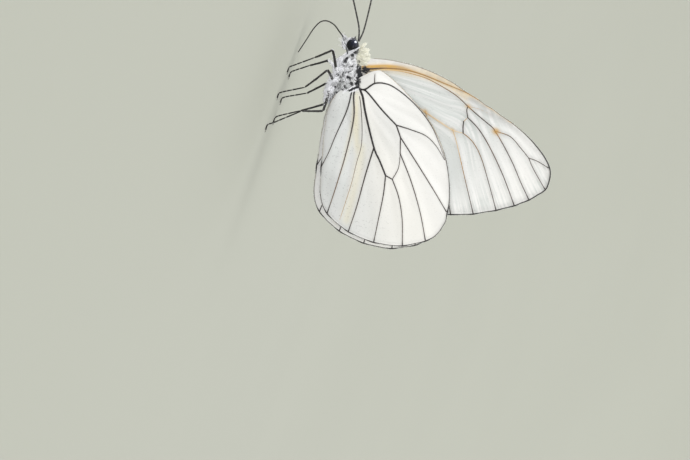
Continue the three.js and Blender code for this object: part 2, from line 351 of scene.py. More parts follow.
def fur(rng, at, normal, along, place, length, lift, wide, sway=0.25, droop=0.35, tuft=9, hold=0.5,
        segments=3, flat=1.0):
    """Hair that leaves the skin with lift, bends over to lie along it, and gathers into tufts."""
    count = len(at)
    leader = leaders(rng, at, tuft) if tuft else np.arange(count)
    own, tone = rng.uniform(0, 1, (2, count))
    aside = rng.normal(0, sway, (count, 3))
    if tuft:
        own = 0.5 * own + 0.5 * own[leader]
        tone = 0.4 * tone + 0.6 * tone[leader]
        aside = 0.45 * aside + 0.65 * aside[leader]
    length = np.broadcast_to(length, count) * (0.7 + 0.5 * own)
    lift = np.broadcast_to(lift, count)[:, None]
    first_way = unit(normal * lift + along * (1 - lift) + aside * 0.6)
    last_way = unit(normal * lift * (1 - droop) + along * (1 - lift + droop) + aside)
    root = at - normal * ROOT_DEPTH
    middle = root + first_way * (length * 0.5)[:, None]
    tip = middle + last_way * (length * 0.55)[:, None]
    if tuft:
        near = root[leader] * 0.5 + root * 0.5
        middle = middle + 0.4 * hold * (near + (middle - root)[leader] - middle)
        near = root[leader] * 0.75 + root * 0.25
        tip = tip + hold * (near + (tip - root)[leader] - tip)
    return strands(rng, place, root, middle, tip, wide, segments, flat, normal, tone)


# ------------------------------------------------------------------ materials


class Graph:
    """Short ways to place and link shader nodes."""

    def __init__(self, tree):
        self.tree, self.nodes, self.links = tree, tree.nodes, tree.links

    def set(self, socket, value):
        """Links a socket to another one, or gives it a plain value."""
        if isinstance(value, bpy.types.NodeSocket):
            self.links.new(value, socket)
        elif socket.type == "RGBA" and len(value) == 3:
            socket.default_value = (*value, 1)
        else:
            socket.default_value = value

    def add(self, kind, inputs=None, **settings):
        """A node with its settings and inputs."""
        node = self.nodes.new(kind)
        for key, value in settings.items():
            setattr(node, key, value)
        for key, value in (inputs or {}).items():
            self.set(node.inputs[key], value)
        return node

    def value(self, name):
        """The value kept at each vertex under that name."""
        return self.add("ShaderNodeAttribute", attribute_name=name).outputs["Fac"]

    def vector(self, name):
        return self.add("ShaderNodeAttribute", attribute_name=name).outputs["Vector"]

    def math(self, operation, a, b=0.0):
        node = self.add("ShaderNodeMath", operation=operation)
        for socket, value in zip(node.inputs, (a, b)):
            self.set(socket, value)
        return node.outputs[0]

    def times(self, a, b):
        return self.math("MULTIPLY", a, b)

    def mix(self, share, a, b, blend="MIX"):
        node = self.add("ShaderNodeMix", data_type="RGBA", blend_type=blend)
        for index, value in zip((0, 6, 7), (share, a, b)):
            self.set(node.inputs[index], value)
        return node.outputs[2]

    def span(self, value, low, high, to_low=0.0, to_high=1.0):
        """value taken smoothly from the range low to high to another range."""
        keys = ("Value", "From Min", "From Max", "To Min", "To Max")
        ends = dict(zip(keys, (value, low, high, to_low, to_high)))
        return self.add("ShaderNodeMapRange", ends, interpolation_type="SMOOTHSTEP").outputs["Result"]

    def noise(self, at, scale, detail=3.0, roughness=0.55):
        ends = {"Vector": at, "Scale": scale, "Detail": detail, "Roughness": roughness}
        return self.add("ShaderNodeTexNoise", ends).outputs["Fac"]

    def stretch(self, at, x, y, z):
        return self.add("ShaderNodeMapping", {"Vector": at, "Scale": (x, y, z)}).outputs[0]

    def here(self):
        """The place on the piece, in its own metres."""
        return self.add("ShaderNodeTexCoord").outputs["Object"]

    def bump(self, height, distance, strength):
        ends = {"Height": height, "Distance": distance, "Strength": strength}
        return self.add("ShaderNodeBump", ends).outputs[0]

    def cells(self, at, scale, randomness, feature):
        ends = {"Vector": at, "Scale": scale, "Randomness": randomness}
        return self.add("ShaderNodeTexVoronoi", ends, feature=feature).outputs

    def cover(self, colour, grain, rough, height, depth, strength):
        """What most materials put out: a colour, a grain that is rough from and to, and a relief."""
        return {
            "Base_Color": colour,
            "Roughness": self.span(grain, 0.3, 0.7, *rough),
            "Normal": self.bump(height, depth, strength),
        }

    def group(self, tree, **inputs):
        """A shader group, whose inputs are named in lower case."""
        node = self.add("ShaderNodeGroup", node_tree=tree)
        for key, value in inputs.items():
            self.set(node.inputs[key.replace("_", " ").capitalize()], value)
        return node.outputs


def finish(name, paint, **plain):
    """A material: paint adds its nodes and returns the linked sockets of the Principled shader."""
    made = bpy.data.materials.new(name)
    made.use_nodes = True
    graph = Graph(made.node_tree)
    shader = graph.nodes["Principled BSDF"]
    for key, value in plain.items():
        shader.inputs[key.replace("_", " ")].default_value = value
    for key, value in paint(graph).items():
        graph.set(shader.inputs[key.replace("_", " ")], value)
    return made


def effect(name, inputs, outputs, build):
    """A shader group with named inputs and outputs. build gets its graph and input sockets."""
    tree = bpy.data.node_groups.new(name, "ShaderNodeTree")
    for key, kind, start in inputs:
        socket = tree.interface.new_socket(key, in_out="INPUT", socket_type=f"NodeSocket{kind}")
        if start is not None:
            socket.default_value = start
    for key, kind in outputs:
        tree.interface.new_socket(key, in_out="OUTPUT", socket_type=f"NodeSocket{kind}")
    graph = Graph(tree)
    given = graph.add("NodeGroupInput").outputs
    end = graph.add("NodeGroupOutput").inputs
    for key, value in build(graph, given).items():
        graph.set(end[key], value)
    return tree


def scale_rows():
    """The overlapping rows of tiny scales that cover a wing."""

    def build(g, given):
        cells = g.cells(g.stretch(given["Vector"], 1.0, 1.0, 0.62), given["Scale"], 0.75, "F1")
        tone = g.add("ShaderNodeSeparateColor", {0: cells["Color"]}).outputs[0]
        return {"Height": g.math("SUBTRACT", 1.0, cells["Distance"]), "Tone": tone}

    inputs = [("Vector", "Vector", None), ("Scale", "Float", 9000.0)]
    return effect("Scale rows", inputs, [("Height", "Float"), ("Tone", "Float")], build)


def mottle():
    """Soft uneven patches and fine grain, mixed."""

    def build(g, given):
        coarse = g.noise(given["Vector"], given["Coarse"], 2.0)
        fine = g.noise(given["Vector"], given["Fine"], 4.0, 0.7)
        both = g.math("ADD", g.times(coarse, 0.5), g.times(fine, 0.5))
        return {"Mask": g.span(both, 0.38, 0.62), "Grain": fine}

    inputs = [("Vector", "Vector", None), ("Coarse", "Float", 300.0), ("Fine", "Float", 4000.0)]
    return effect("Mottle", inputs, [("Mask", "Float"), ("Grain", "Float")], build)


_shared = {}


def shared(make):
    """A group or material that is made once and used again."""
    if make.__name__ not in _shared:
        _shared[make.__name__] = make()
    return _shared[make.__name__]


def sizes():
    return bpy.context.scene.butterfly_sizes


def hair_width():
    return sizes().hair_width / MM


def colours():
    return bpy.context.scene.butterfly_colours


def darker(tint, share):
    return [c * share for c in tint]


# How each kind of wing is painted: how many pleats it has, how strong its clear streaks and
# freckles are, and how far dusk reaches from its veins and its rim, and how strongly.
WING_LOOKS = {
    "forewing": {"pleats": 26.0, "clear": 0.75, "freckle": 0.45, "vein": (0.75, 0.42), "rim": (1.3, 0.45)},
    "hindwing": {"pleats": 16.0, "clear": 0.3, "freckle": 1.0, "vein": (0.42, 0.34), "rim": (0.7, 0.3)},
}


def wing_finish(kind):
    """Scaled membrane: clear streaks along it, dusk by the veins and rim, and warm places."""
    tint, look = colours(), WING_LOOKS[kind]
    fore = kind == "forewing"

    def paint(g):
        here, ray = g.here(), g.vector("ray")
        grey, warm, amber = (g.value(key) for key in ("grey", "warm", "amber"))
        pleat = g.noise(g.stretch(ray, look["pleats"], 0.07, 1.0), 1.0, 2.5, 0.6)
        wash = g.noise(here, 260.0, 2.0)
        grain = g.group(shared(mottle), vector=here, coarse=900.0, fine=9000.0)
        rows = g.group(shared(scale_rows), vector=here, scale=9500.0)
        # on a hindwing this grey is painted shade from the abdomen behind the wing
        colour = g.mix(grey, tint.wing_white, tint.wing_grey if fore else tint.wing_painted_shade)
        clear = g.times(g.span(pleat, 0.38, 0.6), g.span(grey, 0.2, 1.0, 0.0, look["clear"]))
        colour = g.mix(clear, colour, tint.wing_clear)
        colour = g.mix(g.span(wash, 0.3, 0.7, 0.0, 0.2), colour, tint.wing_grey)
        if fore:  # grey dust between white streaks, most of it near the outer margin
            fine = g.noise(g.stretch(ray, 60.0, 0.12, 1.0), 1.0, 2.5, 0.6)
            dust = g.times(g.value("dust"), g.span(fine, 0.42, 0.6))
            dust = g.times(dust, g.span(wash, 0.4, 0.6, 0.35, 1.0))
            colour = g.mix(dust, colour, tint.wing_clear)
        colour = g.mix(warm, colour, tint.wing_peach if fore else tint.wing_straw)
        colour = g.mix(amber, colour, tint.wing_amber)
        uneven = g.span(grain["Mask"], 0.0, 1.0, 0.55, 1.0)
        for line in ("vein", "rim"):
            reach, strength = look[line]
            beside = g.span(g.value(line), 0.0, reach, strength, 0.0)
            colour = g.mix(g.times(beside, uneven), colour, tint.wing_dusk)
        freckle = g.times(g.span(rows["Tone"], 0.9, 1.0), g.span(grain["Grain"], 0.42, 0.6, 0.0, 0.5))
        freckle = g.times(freckle, g.span(grey, 0.0, 1.0, 0.25, look["freckle"]))
        colour = g.mix(freckle, colour, tint.vein_black)
        height = g.math("ADD", g.times(rows["Height"], 0.7), g.times(pleat, 0.3))
        return g.cover(colour, grain["Grain"], (0.5, 0.72), height, 0.00003, 0.45)

    return finish(kind.capitalize() + " scales", paint, Sheen_Weight=0.12, Specular_IOR_Level=0.35)


def vein_finish():
    """Smooth dark veins that turn brown, amber or pale."""
    tint = colours()

    def paint(g):
        grain = g.group(shared(mottle), vector=g.here(), coarse=1500.0, fine=12000.0)
        colour = g.mix(g.value("tone"), tint.vein_black, tint.vein_brown)
        colour = g.mix(g.value("amber"), colour, tint.vein_amber)
        colour = g.mix(g.value("pale"), colour, tint.wing_peach)
        colour = g.mix(g.span(grain["Grain"], 0.5, 0.75, 0.0, 0.3), colour, tint.wing_dusk)
        return {
            "Base_Color": colour,
            "Roughness": g.span(grain["Mask"], 0.0, 1.0, 0.42, 0.62),
            "Normal": g.bump(grain["Grain"], 0.00002, 0.5),
        }

    return finish("Vein", paint, Specular_IOR_Level=0.4)


def hair_finish(name, root, tip, dark=None, dark_share=0.0, sheen=0.3):
    """Hair that pales from root to tip: the darker root is painted shade deep in the coat. Some tufts are
    dark, and each hair differs a little.
    """

    def paint(g):
        tone = g.value("tone")
        # painted shade: each hair is darker near its root, where the coat around it would shade it
        colour = g.mix(g.span(g.value("reach"), 0.0, 0.55), root, tip)
        streak = g.noise(g.here(), 1400.0, 2.0)
        shade = g.times(g.span(tone, 0.0, 1.0, 0.93, 1.0), g.span(streak, 0.25, 0.75, 0.95, 1.0))
        grey = g.add("ShaderNodeCombineColor", {0: shade, 1: shade, 2: shade}).outputs[0]
        colour = g.mix(1.0, colour, grey, "MULTIPLY")
        if dark is not None:
            colour = g.mix(g.span(tone, dark_share, dark_share + 0.16, 1.0, 0.0), colour, dark)
        return {"Base_Color": colour, "Roughness": g.span(streak, 0.3, 0.7, 0.45, 0.6)}

    return finish(name, paint, Sheen_Weight=sheen, Specular_IOR_Level=0.45)


def white_hair():
    tint = colours().hair_white
    return hair_finish("White hair", darker(tint, 0.85), darker(tint, 0.96), darker(tint, 0.1), 0.3, 0.8)


def clean_hair():
    tint = colours().hair_white
    return hair_finish("Clean white hair", darker(tint, 0.96), tint, sheen=0.8)


def black_hair():
    tint = colours().hair_black
    return hair_finish("Black hair", tint, darker(tint, 2.0), sheen=0.1)


def cream_hair():
    tint = colours().hair_cream
    return hair_finish("Cream hair", darker(tint, 0.88), tint, darker(tint, 0.75), 0.04)


def grey_hair():
    tint = colours().hair_grey
    return hair_finish("Grey hair", darker(tint, 0.35), darker(tint, 1.35), darker(tint, 0.12), 0.3)


def collar_skin():
    """Cream skin under the plumes of the collar."""
    cream = colours().hair_cream

    def paint(g):
        grain = g.group(shared(mottle), vector=g.here(), coarse=1200.0, fine=9000.0)
        colour = g.mix(grain["Mask"], darker(cream, 0.85), darker(cream, 0.65))
        return g.cover(colour, grain["Grain"], (0.5, 0.7), grain["Grain"], 0.00005, 0.6)

    return finish("Collar skin", paint)


def skin_finish():
    """The skin under the coat, dark or pale."""
    tint = colours()

    def paint(g):
        grain = g.group(shared(mottle), vector=g.here(), coarse=1200.0, fine=9000.0)
        colour = g.mix(g.value("pale"), tint.skin_dark, tint.skin_pale)
        colour = g.mix(g.span(grain["Mask"], 0.0, 1.0, 0.0, 0.2), colour, tint.vein_brown)
        return g.cover(colour, grain["Grain"], (0.5, 0.75), grain["Grain"], 0.00006, 0.7)

    return finish("Skin", paint)


def horn_finish():
    """The black horn of legs and feelers, dusted with pale scales."""
    tint = colours()

    def paint(g):
        here = g.here()
        grain = g.group(shared(mottle), vector=here, coarse=3200.0, fine=24000.0)
        rows = g.group(shared(scale_rows), vector=here, scale=26000.0)
        colour = g.mix(g.span(grain["Grain"], 0.35, 0.7), tint.horn_black, tint.horn_brown)
        dust = g.times(g.value("dust"), g.span(rows["Tone"], 0.45, 0.8))
        colour = g.mix(dust, colour, tint.horn_dust)
        colour = g.mix(g.value("pale"), colour, tint.club_tip)
        height = g.math("ADD", rows["Height"], g.times(grain["Grain"], 0.5))
        return g.cover(colour, grain["Grain"], (0.4, 0.6), height, 0.00002, 0.5)

    return finish("Horn", paint, Specular_IOR_Level=0.25)


def tongue_finish():
    """Dark horn with fine rings across."""
    tint = colours()

    def paint(g):
        rings = g.math("SINE", g.times(g.value("reach"), 900.0))
        grain = g.group(shared(mottle), vector=g.here(), coarse=1800.0, fine=12000.0)
        colour = g.mix(g.span(rings, -1.0, 1.0, 0.0, 0.5), tint.tongue_dark, tint.tongue_brown)
        return g.cover(colour, grain["Grain"], (0.28, 0.45), rings, 0.00001, 0.6)

    return finish("Tongue", paint)


def eye_finish():
    """Glossy black with a bluish cloud and fine facets."""
    tint = colours()

    def paint(g):
        here = g.here()
        facets = g.cells(here, 26000.0, 0.25, "DISTANCE_TO_EDGE")["Distance"]
        cloud = g.noise(here, 1100.0, 2.0)
        colour = g.mix(g.span(cloud, 0.35, 0.7), tint.eye_black, tint.eye_blue)
        return {
            "Base_Color": colour,
            "Roughness": g.span(facets, 0.0, 0.3, 0.12, 0.05),
            "Normal": g.bump(g.span(facets, 0.0, 0.25), 0.000003, 0.2),
        }

    return finish("Eye", paint, IOR=1.5, Specular_IOR_Level=0.32)


def stage_finish():
    """Plain paper, faintly uneven."""
    pale = colours().floor

    def paint(g):
        grain = g.noise(g.here(), 2.5, 2.0)
        return {"Base_Color": g.mix(g.span(grain, 0.3, 0.7, 0.0, 0.4), pale, darker(pale, 0.95))}

    return finish("Backdrop", paint, Roughness=0.9, Specular_IOR_Level=0.1)


# ------------------------------------------------------------------ body

# Sections of the skin: aft, up, half width, height above and depth below.
SECTIONS = [
    (-8.22, 7.93, 0.12, 0.12, 0.12), (-8.12, 7.93, 0.55, 0.45, 0.6), (-7.85, 7.98, 0.85, 0.8, 0.95),
    (-7.42, 8.1, 0.98, 1.02, 1.15), (-6.9, 8.2, 0.98, 1.12, 1.15), (-6.4, 8.35, 0.82, 0.95, 0.95),
    (-6.05, 8.5, 0.68, 0.8, 0.75), (-5.6, 8.75, 1.05, 1.35, 1.25), (-4.8, 9.0, 1.5, 1.85, 1.6),
    (-3.6, 9.12, 1.82, 2.18, 1.8), (-2.2, 9.08, 1.92, 2.25, 2.2), (-0.6, 8.9, 1.86, 2.15, 2.3),
    (0.8, 8.75, 1.6, 1.75, 2.05), (1.9, 8.8, 1.2, 1.25, 1.45), (2.6, 9.05, 1.0, 1.05, 1.1),
    (3.8, 9.5, 1.08, 1.2, 1.25), (5.6, 9.95, 1.22, 1.36, 1.38), (7.6, 10.4, 1.22, 1.36, 1.38),
    (9.6, 10.8, 1.1, 1.22, 1.24), (11.2, 11.08, 0.85, 0.95, 0.97), (12.4, 11.28, 0.52, 0.6, 0.6),
    (12.95, 11.36, 0.2, 0.25, 0.25),
]
SQUARE = 2.35  # how square the sections are: 2 is an ellipse
WAIST, RING = 3.2, 1.38  # where the abdomen's rings start and how long each is


def above_middle(aft, up):
    """How far above the middle line of the abdomen a place is. The line rises towards the tail."""
    return up - 8.75 - 0.209 * (aft - 0.6)


def body_surface(rings=260, columns=96):
    """The skin of head, thorax and abdomen."""
    s = smooth_line(SECTIONS, rings)
    t = np.linspace(0, 2 * math.pi, columns, endpoint=False)
    c, n = np.cos(t), np.sin(t)
    round_ = (np.abs(c) ** SQUARE + np.abs(n) ** SQUARE) ** (-1 / SQUARE)
    aft = s[:, 0]
    # The abdomen is drawn in a little between its rings.
    ring = np.where(aft > WAIST, 0.035 * np.abs(np.sin((aft - WAIST) * math.pi / RING)) ** 0.5 - 0.035, 0)
    size = 1 + ring[:, None]
    high = np.where(n > 0, s[:, 3:4], s[:, 4:5])
    out = s[:, 2:3] * c * round_ * size
    up = s[:, 1:2] + high * n * round_ * size
    lean = 0.22 * (up - s[:, 1:2])  # sections stand square to a body that rises towards the tail
    tilt = np.where(aft > 2, -1, 0.4)[:, None] * ease(0.5, 3, np.abs(aft + 6.5) / 3)[:, None]
    return Surface(np.stack([out, aft[:, None] + lean * tilt, up], axis=2))


# Dark tufts on the thorax and head: aft, up and radius.
DARK_TUFTS = [
    (-6.31, 8.97, 0.36), (-6.88, 9.3, 0.28), (-5.6, 8.72, 0.28), (-4.87, 8.03, 0.24), (-4.27, 8.05, 0.24),
    (-3.58, 7.86, 0.2), (-3.05, 7.8, 0.16), (-5.38, 10.08, 0.28), (-5.0, 10.0, 0.28), (-3.92, 9.34, 0.13),
    (-3.7, 8.97, 0.12), (-2.54, 8.4, 0.13), (-2.72, 8.7, 0.12), (-2.84, 9.0, 0.12), (-3.0, 9.25, 0.12),
    (-2.2, 8.22, 0.16), (-1.92, 7.76, 0.16), (-1.54, 7.58, 0.16), (-2.1, 9.2, 0.24), (-2.05, 9.55, 0.2),
    (-1.33, 10.1, 0.26), (-0.62, 9.25, 0.2), (-0.48, 9.45, 0.2), (0.0, 9.1, 0.2), (0.08, 9.3, 0.2),
    (0.48, 7.25, 0.42), (0.47, 7.6, 0.25), (0.02, 7.9, 0.22), (0.72, 8.4, 0.2), (-1.1, 8.3, 0.12),
    (-4.3, 10.2, 0.4), (-3.5, 10.5, 0.42), (-3.0, 10.9, 0.42), (-2.3, 10.75, 0.42), (-1.6, 10.95, 0.4),
    (-4.2, 11.2, 0.35), (-1.2, 11.1, 0.3),
]


def darkness(at):
    """How dark the coat is at each point, from 0 to 1."""
    dark = np.zeros(at.shape[:-1])
    for aft, up, radius in DARK_TUFTS:
        away = np.hypot(at[..., 1] - aft, at[..., 2] - up)
        dark = np.maximum(dark, 1 - ease(0.75 * radius, 1.25 * radius, away))
    return dark


def skin_place(points):
    """The place on the unwrapped skin that is nearest to each point."""
    grid = body_surface().grid[::4, ::4]
    flat = grid.reshape(-1, 3)
    parts = np.array_split(points, 1 + len(points) // 200)
    nearest = np.concatenate([((p[:, None] - flat) ** 2).sum(2).argmin(1) for p in parts])
    i, j = np.unravel_index(nearest, grid.shape[:2])
    return np.column_stack([i / grid.shape[0], j / grid.shape[1]])


def mapped(root, side):
    """Each root's place on the map of the coat, for hair that is mirrored if side is -1."""
    place = skin_place(root)
    if side < 0:
        place[:, 1] = (0.5 - place[:, 1]) % 1
    return place


def tress(rng, path, radius, count, side, length, lift, wide, way=None, skip=None, **ways):
    """Hair rooted in a band along a line beside the body, on one side of it.

    radius is the band's half width at its start and end. way is how the hair lies, if not along
    the line, and skip is a place (aft, up, radius) that stays bare.
    """
    steps, ahead = 120, 4
    line = smooth_line(path, steps)
    t = rng.uniform(0, 1, count)
    index = (t * (steps - ahead - 2)).astype(int)
    half = radius[0] + (radius[1] - radius[0]) * t
    angle = rng.uniform(0, 2 * math.pi, count)
    reach = np.sqrt(rng.uniform(0, 1, count)) * half
    depth = -0.5 * rng.uniform(0, 1, count) * half
    root = line[index] + np.column_stack([depth, reach * np.cos(angle), reach * np.sin(angle)])
    along = line[index + ahead] - line[index] if way is None else np.tile(way, (count, 1))
    if skip is not None:
        bare = np.hypot(root[:, 1] - skip[0], root[:, 2] - skip[1]) > skip[2]
        root, along = root[bare], along[bare]
    out = np.tile([1.0, 0.0, 0.0], (len(root), 1))
    hair = fur(rng, root, out, unit(along), mapped(root, side), length, lift, wide, **ways)
    return hair.mirrored(side)


# ------------------------------------------------------------------ wings


class Wing:
    """The plan of one kind of wing: flat places are (aft, up)."""

    def __init__(self, hinge, root, outline, pleats, plain_ends, veins, turn_right=0.0):
        self.hinge = np.array(hinge)
        self.root = np.array(root)
        self.outline = np.array(outline)
        self.pleats = pleats
        self.plain_ends = plain_ends
        self.veins = {name: (np.array(p), wide, inks) for name, (wide, inks, p) in veins.items()}
        self.turn_right = turn_right

    def turned(self, flat, side):
        """Flat places of the left wing where the wing on that side has them."""
        angle = math.radians(self.turn_right) if side < 0 else 0.0
        c, s = math.cos(angle), math.sin(angle)
        return (flat - self.hinge) @ np.array([[c, s], [-s, c]]) + self.hinge

    def lines(self):
        """Each vein's smooth line."""
        return {name: smooth_line(p, 36) for name, (p, _, _) in self.veins.items()}


# Each vein: its widths at start and end, its inks on the way, and its line. An ink is 0 for black,
# 1 for brown, 2 for amber and 3 for pale, or between them. plain_ends are the veins that don't swell
# where they meet the rim.
FOREWING = Wing(
    hinge=(-4.3, 11.5),
    root=(-4.1, 10.2),
    outline=[
        (-5.1, 10.6), (-6.0, 11.5), (-6.9, 14.6), (-7.4, 19.1), (-7.1, 23.7), (-6.0, 28.7), (-3.7, 37.1),
        (-1.4, 41.7), (0.7, 43.9), (2.7, 44.5), (4.7, 43.9), (8.0, 40.6), (11.4, 35.0), (13.1, 30.1),
        (13.0, 27.9), (10.0, 23.1), (3.9, 16.7), (-1.6, 11.8), (-2.9, 10.4),
    ],
    pleats=46,
    plain_ends=("Sc", "R1", "R2", "2A"),
    veins={
        "Sc": ((0.3, 0.14), (0.3, 1.5, 1.7, 1.7, 1.75, 1.8), [
            (-4.2, 10.9), (-4.6, 12.2), (-5.5, 14.4), (-6.25, 17.1), (-6.5, 20.0), (-6.35, 23.9),
            (-6.15, 27.4), (-5.75, 29.6)]),
        "R": ((0.14, 0.2), (2.9, 2.8, 2.1, 1.6, 1.3, 1.1), [
            (-4.0, 10.9), (-4.2, 12.0), (-5.2, 14.4), (-5.8, 16.6), (-6.1, 19.1), (-6.1, 21.5), (-5.3, 25.8),
            (-4.2, 28.5)]),
        "R1": ((0.12, 0.09), (2.2, 2.8), [(-5.3, 25.8), (-5.4, 27.4), (-5.25, 30.2), (-5.0, 32.4)]),
        "R2": ((0.13, 0.09), (1.9, 2.7), [(-4.2, 28.5), (-4.4, 30.2), (-4.2, 32.8), (-4.1, 35.9)]),
        "Rs": ((0.22, 0.2), (2.0, 1.2, 0.8, 0.8, 0.9, 1.9), [
            (-4.2, 28.5), (-3.4, 30.5), (-2.4, 33.2), (-2.0, 33.8)]),
        "M1": ((0.2, 0.16), (2.0, 1.0, 0.9, 0.9, 0.8, 0.8), [
            (-2.0, 33.8), (-0.7, 35.4), (1.7, 38.0), (4.3, 40.4), (6.4, 42.5)]),
        "R45": ((0.18, 0.16), (2.0, 1.1, 0.9, 0.8), [(-2.0, 33.8), (-2.0, 36.3), (-0.9, 38.4), (0.2, 40.2)]),
        "R4": ((0.17, 0.15), (1, 0.8), [(0.2, 40.2), (0.2, 41.6), (0.6, 43.6)]),
        "R5": ((0.17, 0.15), (1, 0.8), [(0.2, 40.2), (1.6, 41.5), (3.9, 44.2)]),
        "cell1": ((0.2, 0.2), (0.8, 0.5), [(-4.2, 28.5), (-3.6, 28.5), (-2.55, 29.05)]),
        "cell2": ((0.13, 0.13), (1.9, 2.1), [(-2.55, 29.05), (-1.75, 28.65)]),
        "cell3": ((0.22, 0.24), (0.5, 0.4), [(-1.75, 28.65), (-0.9, 28.85), (0.0, 29.2)]),
        "M2": ((0.22, 0.17), (0.7, 1.1, 1, 0.8), [
            (-2.55, 29.05), (-1.4, 31.3), (0.7, 33.9), (4.1, 37.3), (8.0, 40.6)]),
        "Cu": ((0.3, 0.14), (0, 0.4, 1.0, 2.3, 2.6, 2.7), [
            (-3.8, 10.9), (-3.5, 13.0), (-2.5, 16.9), (-1.1, 22.4), (-0.4, 25.2), (0.1, 27.5), (0.0, 29.2)]),
        "M3": ((0.18, 0.16), (1.6, 1.4, 1.1, 0.9, 0.8), [
            (0.0, 29.2), (0.8, 31.1), (2.6, 33.1), (6.1, 35.7), (9.7, 38.2)]),
        "CuA1": ((0.14, 0.17), (2.2, 2.5, 1.9, 1.3, 1.0, 0.8), [
            (0.1, 27.5), (2.0, 28.9), (6.5, 31.8), (11.4, 35.0)]),
        "CuA2": ((0.18, 0.17), (2.0, 1.2, 1), [(-1.1, 22.5), (3.8, 26.2), (9.2, 29.7), (12.7, 31.7)]),
        "2A": ((0.25, 0.16), (0, 1), [(-3.4, 10.9), (1.4, 16.6), (8.2, 23.3), (13.2, 28.7)]),
    },
)
HINDWING = Wing(
    hinge=(-1.4, 10.9),
    root=(-1.0, 9.8),
    outline=[
        (-2.0, 10.4), (-2.9, 11.2), (-4.4, 12.8), (-4.65, 14.4), (-2.8, 18.8), (0.3, 23.9), (4.8, 28.0),
        (10.1, 30.6), (12.8, 31.1), (14.4, 31.3), (17.2, 30.2), (19.9, 26.2), (20.9, 21.8), (20.7, 17.6),
        (19.3, 13.7), (17.0, 11.5), (12.4, 10.0), (6.9, 8.6), (3.6, 8.0), (1.1, 8.4), (-0.3, 9.3),
    ],
    pleats=34,
    plain_ends=("Sc", "Rs", "fold", "spur"),
    turn_right=-3.7,
    veins={
        "Sc": ((0.34, 0.1), (0, 0.2, 0.5, 0.9), [
            (-1.25, 11.2), (-1.0, 11.75), (-1.08, 12.2), (-1.37, 12.6), (-1.9, 12.95), (-2.52, 13.45),
            (-2.87, 14.1), (-3.08, 14.9), (-3.1, 16.3), (-2.4, 18.8), (-1.1, 21.6), (0.7, 24.2), (2.7, 26.1),
            (4.9, 27.9)]),
        "spur": ((0.24, 0.12), (0.3, 1.0), [(-2.6, 13.5), (-3.3, 13.25), (-4.0, 13.05)]),
        "R": ((0.3, 0.26), (0, 0.1), [
            (-1.0, 11.7), (-1.06, 12.35), (-0.93, 12.8), (-0.43, 13.7), (1.0, 16.1), (2.4, 18.9)]),
        "Rs": ((0.25, 0.13), (0.2, 0.4, 0.8), [
            (2.4, 18.9), (2.3, 21.4), (2.4, 23.8), (3.3, 25.8), (4.9, 27.8)]),
        "Rs2": ((0.26, 0.24), (0.2, 0.3), [(2.4, 18.9), (4.0, 20.2)]),
        "M1": ((0.24, 0.17), (0.3, 0.7, 1), [(4.0, 20.2), (6.7, 23.7), (9.7, 27.5), (12.5, 30.9)]),
        "cell": ((0.24, 0.2), (0.3, 0.6), [(4.0, 20.2), (6.4, 21.0)]),
        "cell2": ((0.15, 0.18), (0.8, 0.5), [(6.4, 21.0), (8.6, 21.5), (10.6, 21.2)]),
        "cell3": ((0.22, 0.25), (0.4, 0.2), [(10.6, 21.2), (10.4, 20.0)]),
        "M2": ((0.22, 0.17), (0.4, 0.8, 1), [(6.4, 21.0), (9.8, 24.0), (13.9, 27.0), (17.8, 29.3)]),
        "M3": ((0.22, 0.17), (0.4, 0.8, 1), [(10.6, 21.2), (12.9, 23.1), (16.0, 24.8), (19.8, 26.2)]),
        "Cu": ((0.4, 0.28), (0, 0, 0.1), [
            (-1.25, 11.2), (-0.9, 11.7), (-0.5, 12.0), (0.1, 12.5), (2.4, 13.8), (6.9, 16.8), (8.6, 18.4),
            (10.4, 20.0)]),
        "CuA1": ((0.24, 0.17), (0.3, 0.6, 1), [(10.4, 20.0), (13.3, 20.7), (17.3, 21.3), (20.8, 21.8)]),
        "CuA2": ((0.28, 0.18), (0.1, 0.6, 1.1), [(6.9, 16.8), (11.3, 17.0), (16.5, 17.4), (20.6, 17.5)]),
        "fold": ((0.17, 0.1), (0.4, 0.8, 1.1, 1.6, 2.0), [
            (0.2, 12.0), (1.55, 12.7), (4.6, 14.0), (7.4, 14.85), (10.2, 15.05), (13.5, 15.4),
            (19.3, 15.6)]),
        "2A": ((0.34, 0.18), (0, 0.5, 1.0, 1.2, 1.1), [
            (-0.7, 10.8), (-0.2, 10.95), (0.6, 11.15), (3.8, 12.3), (9.4, 13.0), (14.8, 13.3),
            (19.1, 13.4)]),
        "3A": ((0.3, 0.15), (0, 0.3, 0.8), [
            (-0.5, 10.5), (2.7, 10.85), (7.1, 10.55), (10.2, 10.4), (12.6, 10.05)]),
    },
)
WINGS = {"forewing": FOREWING, "hindwing": HINDWING}


def fore_out(flat):
    """How far out from the middle plane a forewing stands: further by its hinge."""
    return 0.6 + 0.6 * bell(np.linalg.norm(flat - FOREWING.hinge, axis=-1), 4.2)


def hind_out(flat):
    """A hindwing stands further out, and rounds the abdomen, but comes in again at its hinge."""
    aft, up = flat[..., 0], flat[..., 1]
    beside = np.abs(above_middle(aft, up)) / 1.022  # square to the sloping abdomen
    room = 0.75 * bell(beside, 2.6) * bell(np.maximum(0, aft - 11.8), 4.0)
    flare = 0.95 * bell(np.linalg.norm(flat - HINDWING.hinge, axis=-1), 6.5)
    out = 1.14 + np.maximum(room, flare) + 0.25 * np.minimum(room, flare)
    return out - 0.85 * bell(np.linalg.norm(flat - HINDWING.hinge - (0.0, -0.3), axis=-1), 2.4)


STAND_OUT = {"forewing": fore_out, "hindwing": hind_out}
FAN = (-24.0, 12.0)  # where the outer veins of a forewing would meet, well in front of it
THICK = 0.09  # of a membrane
SLACK = 0.075  # how far it sinks between its veins
PLEAT = 0.022  # how high its pleats are
SCALLOP = 0.08  # how far the rim is drawn in between the ends of the veins


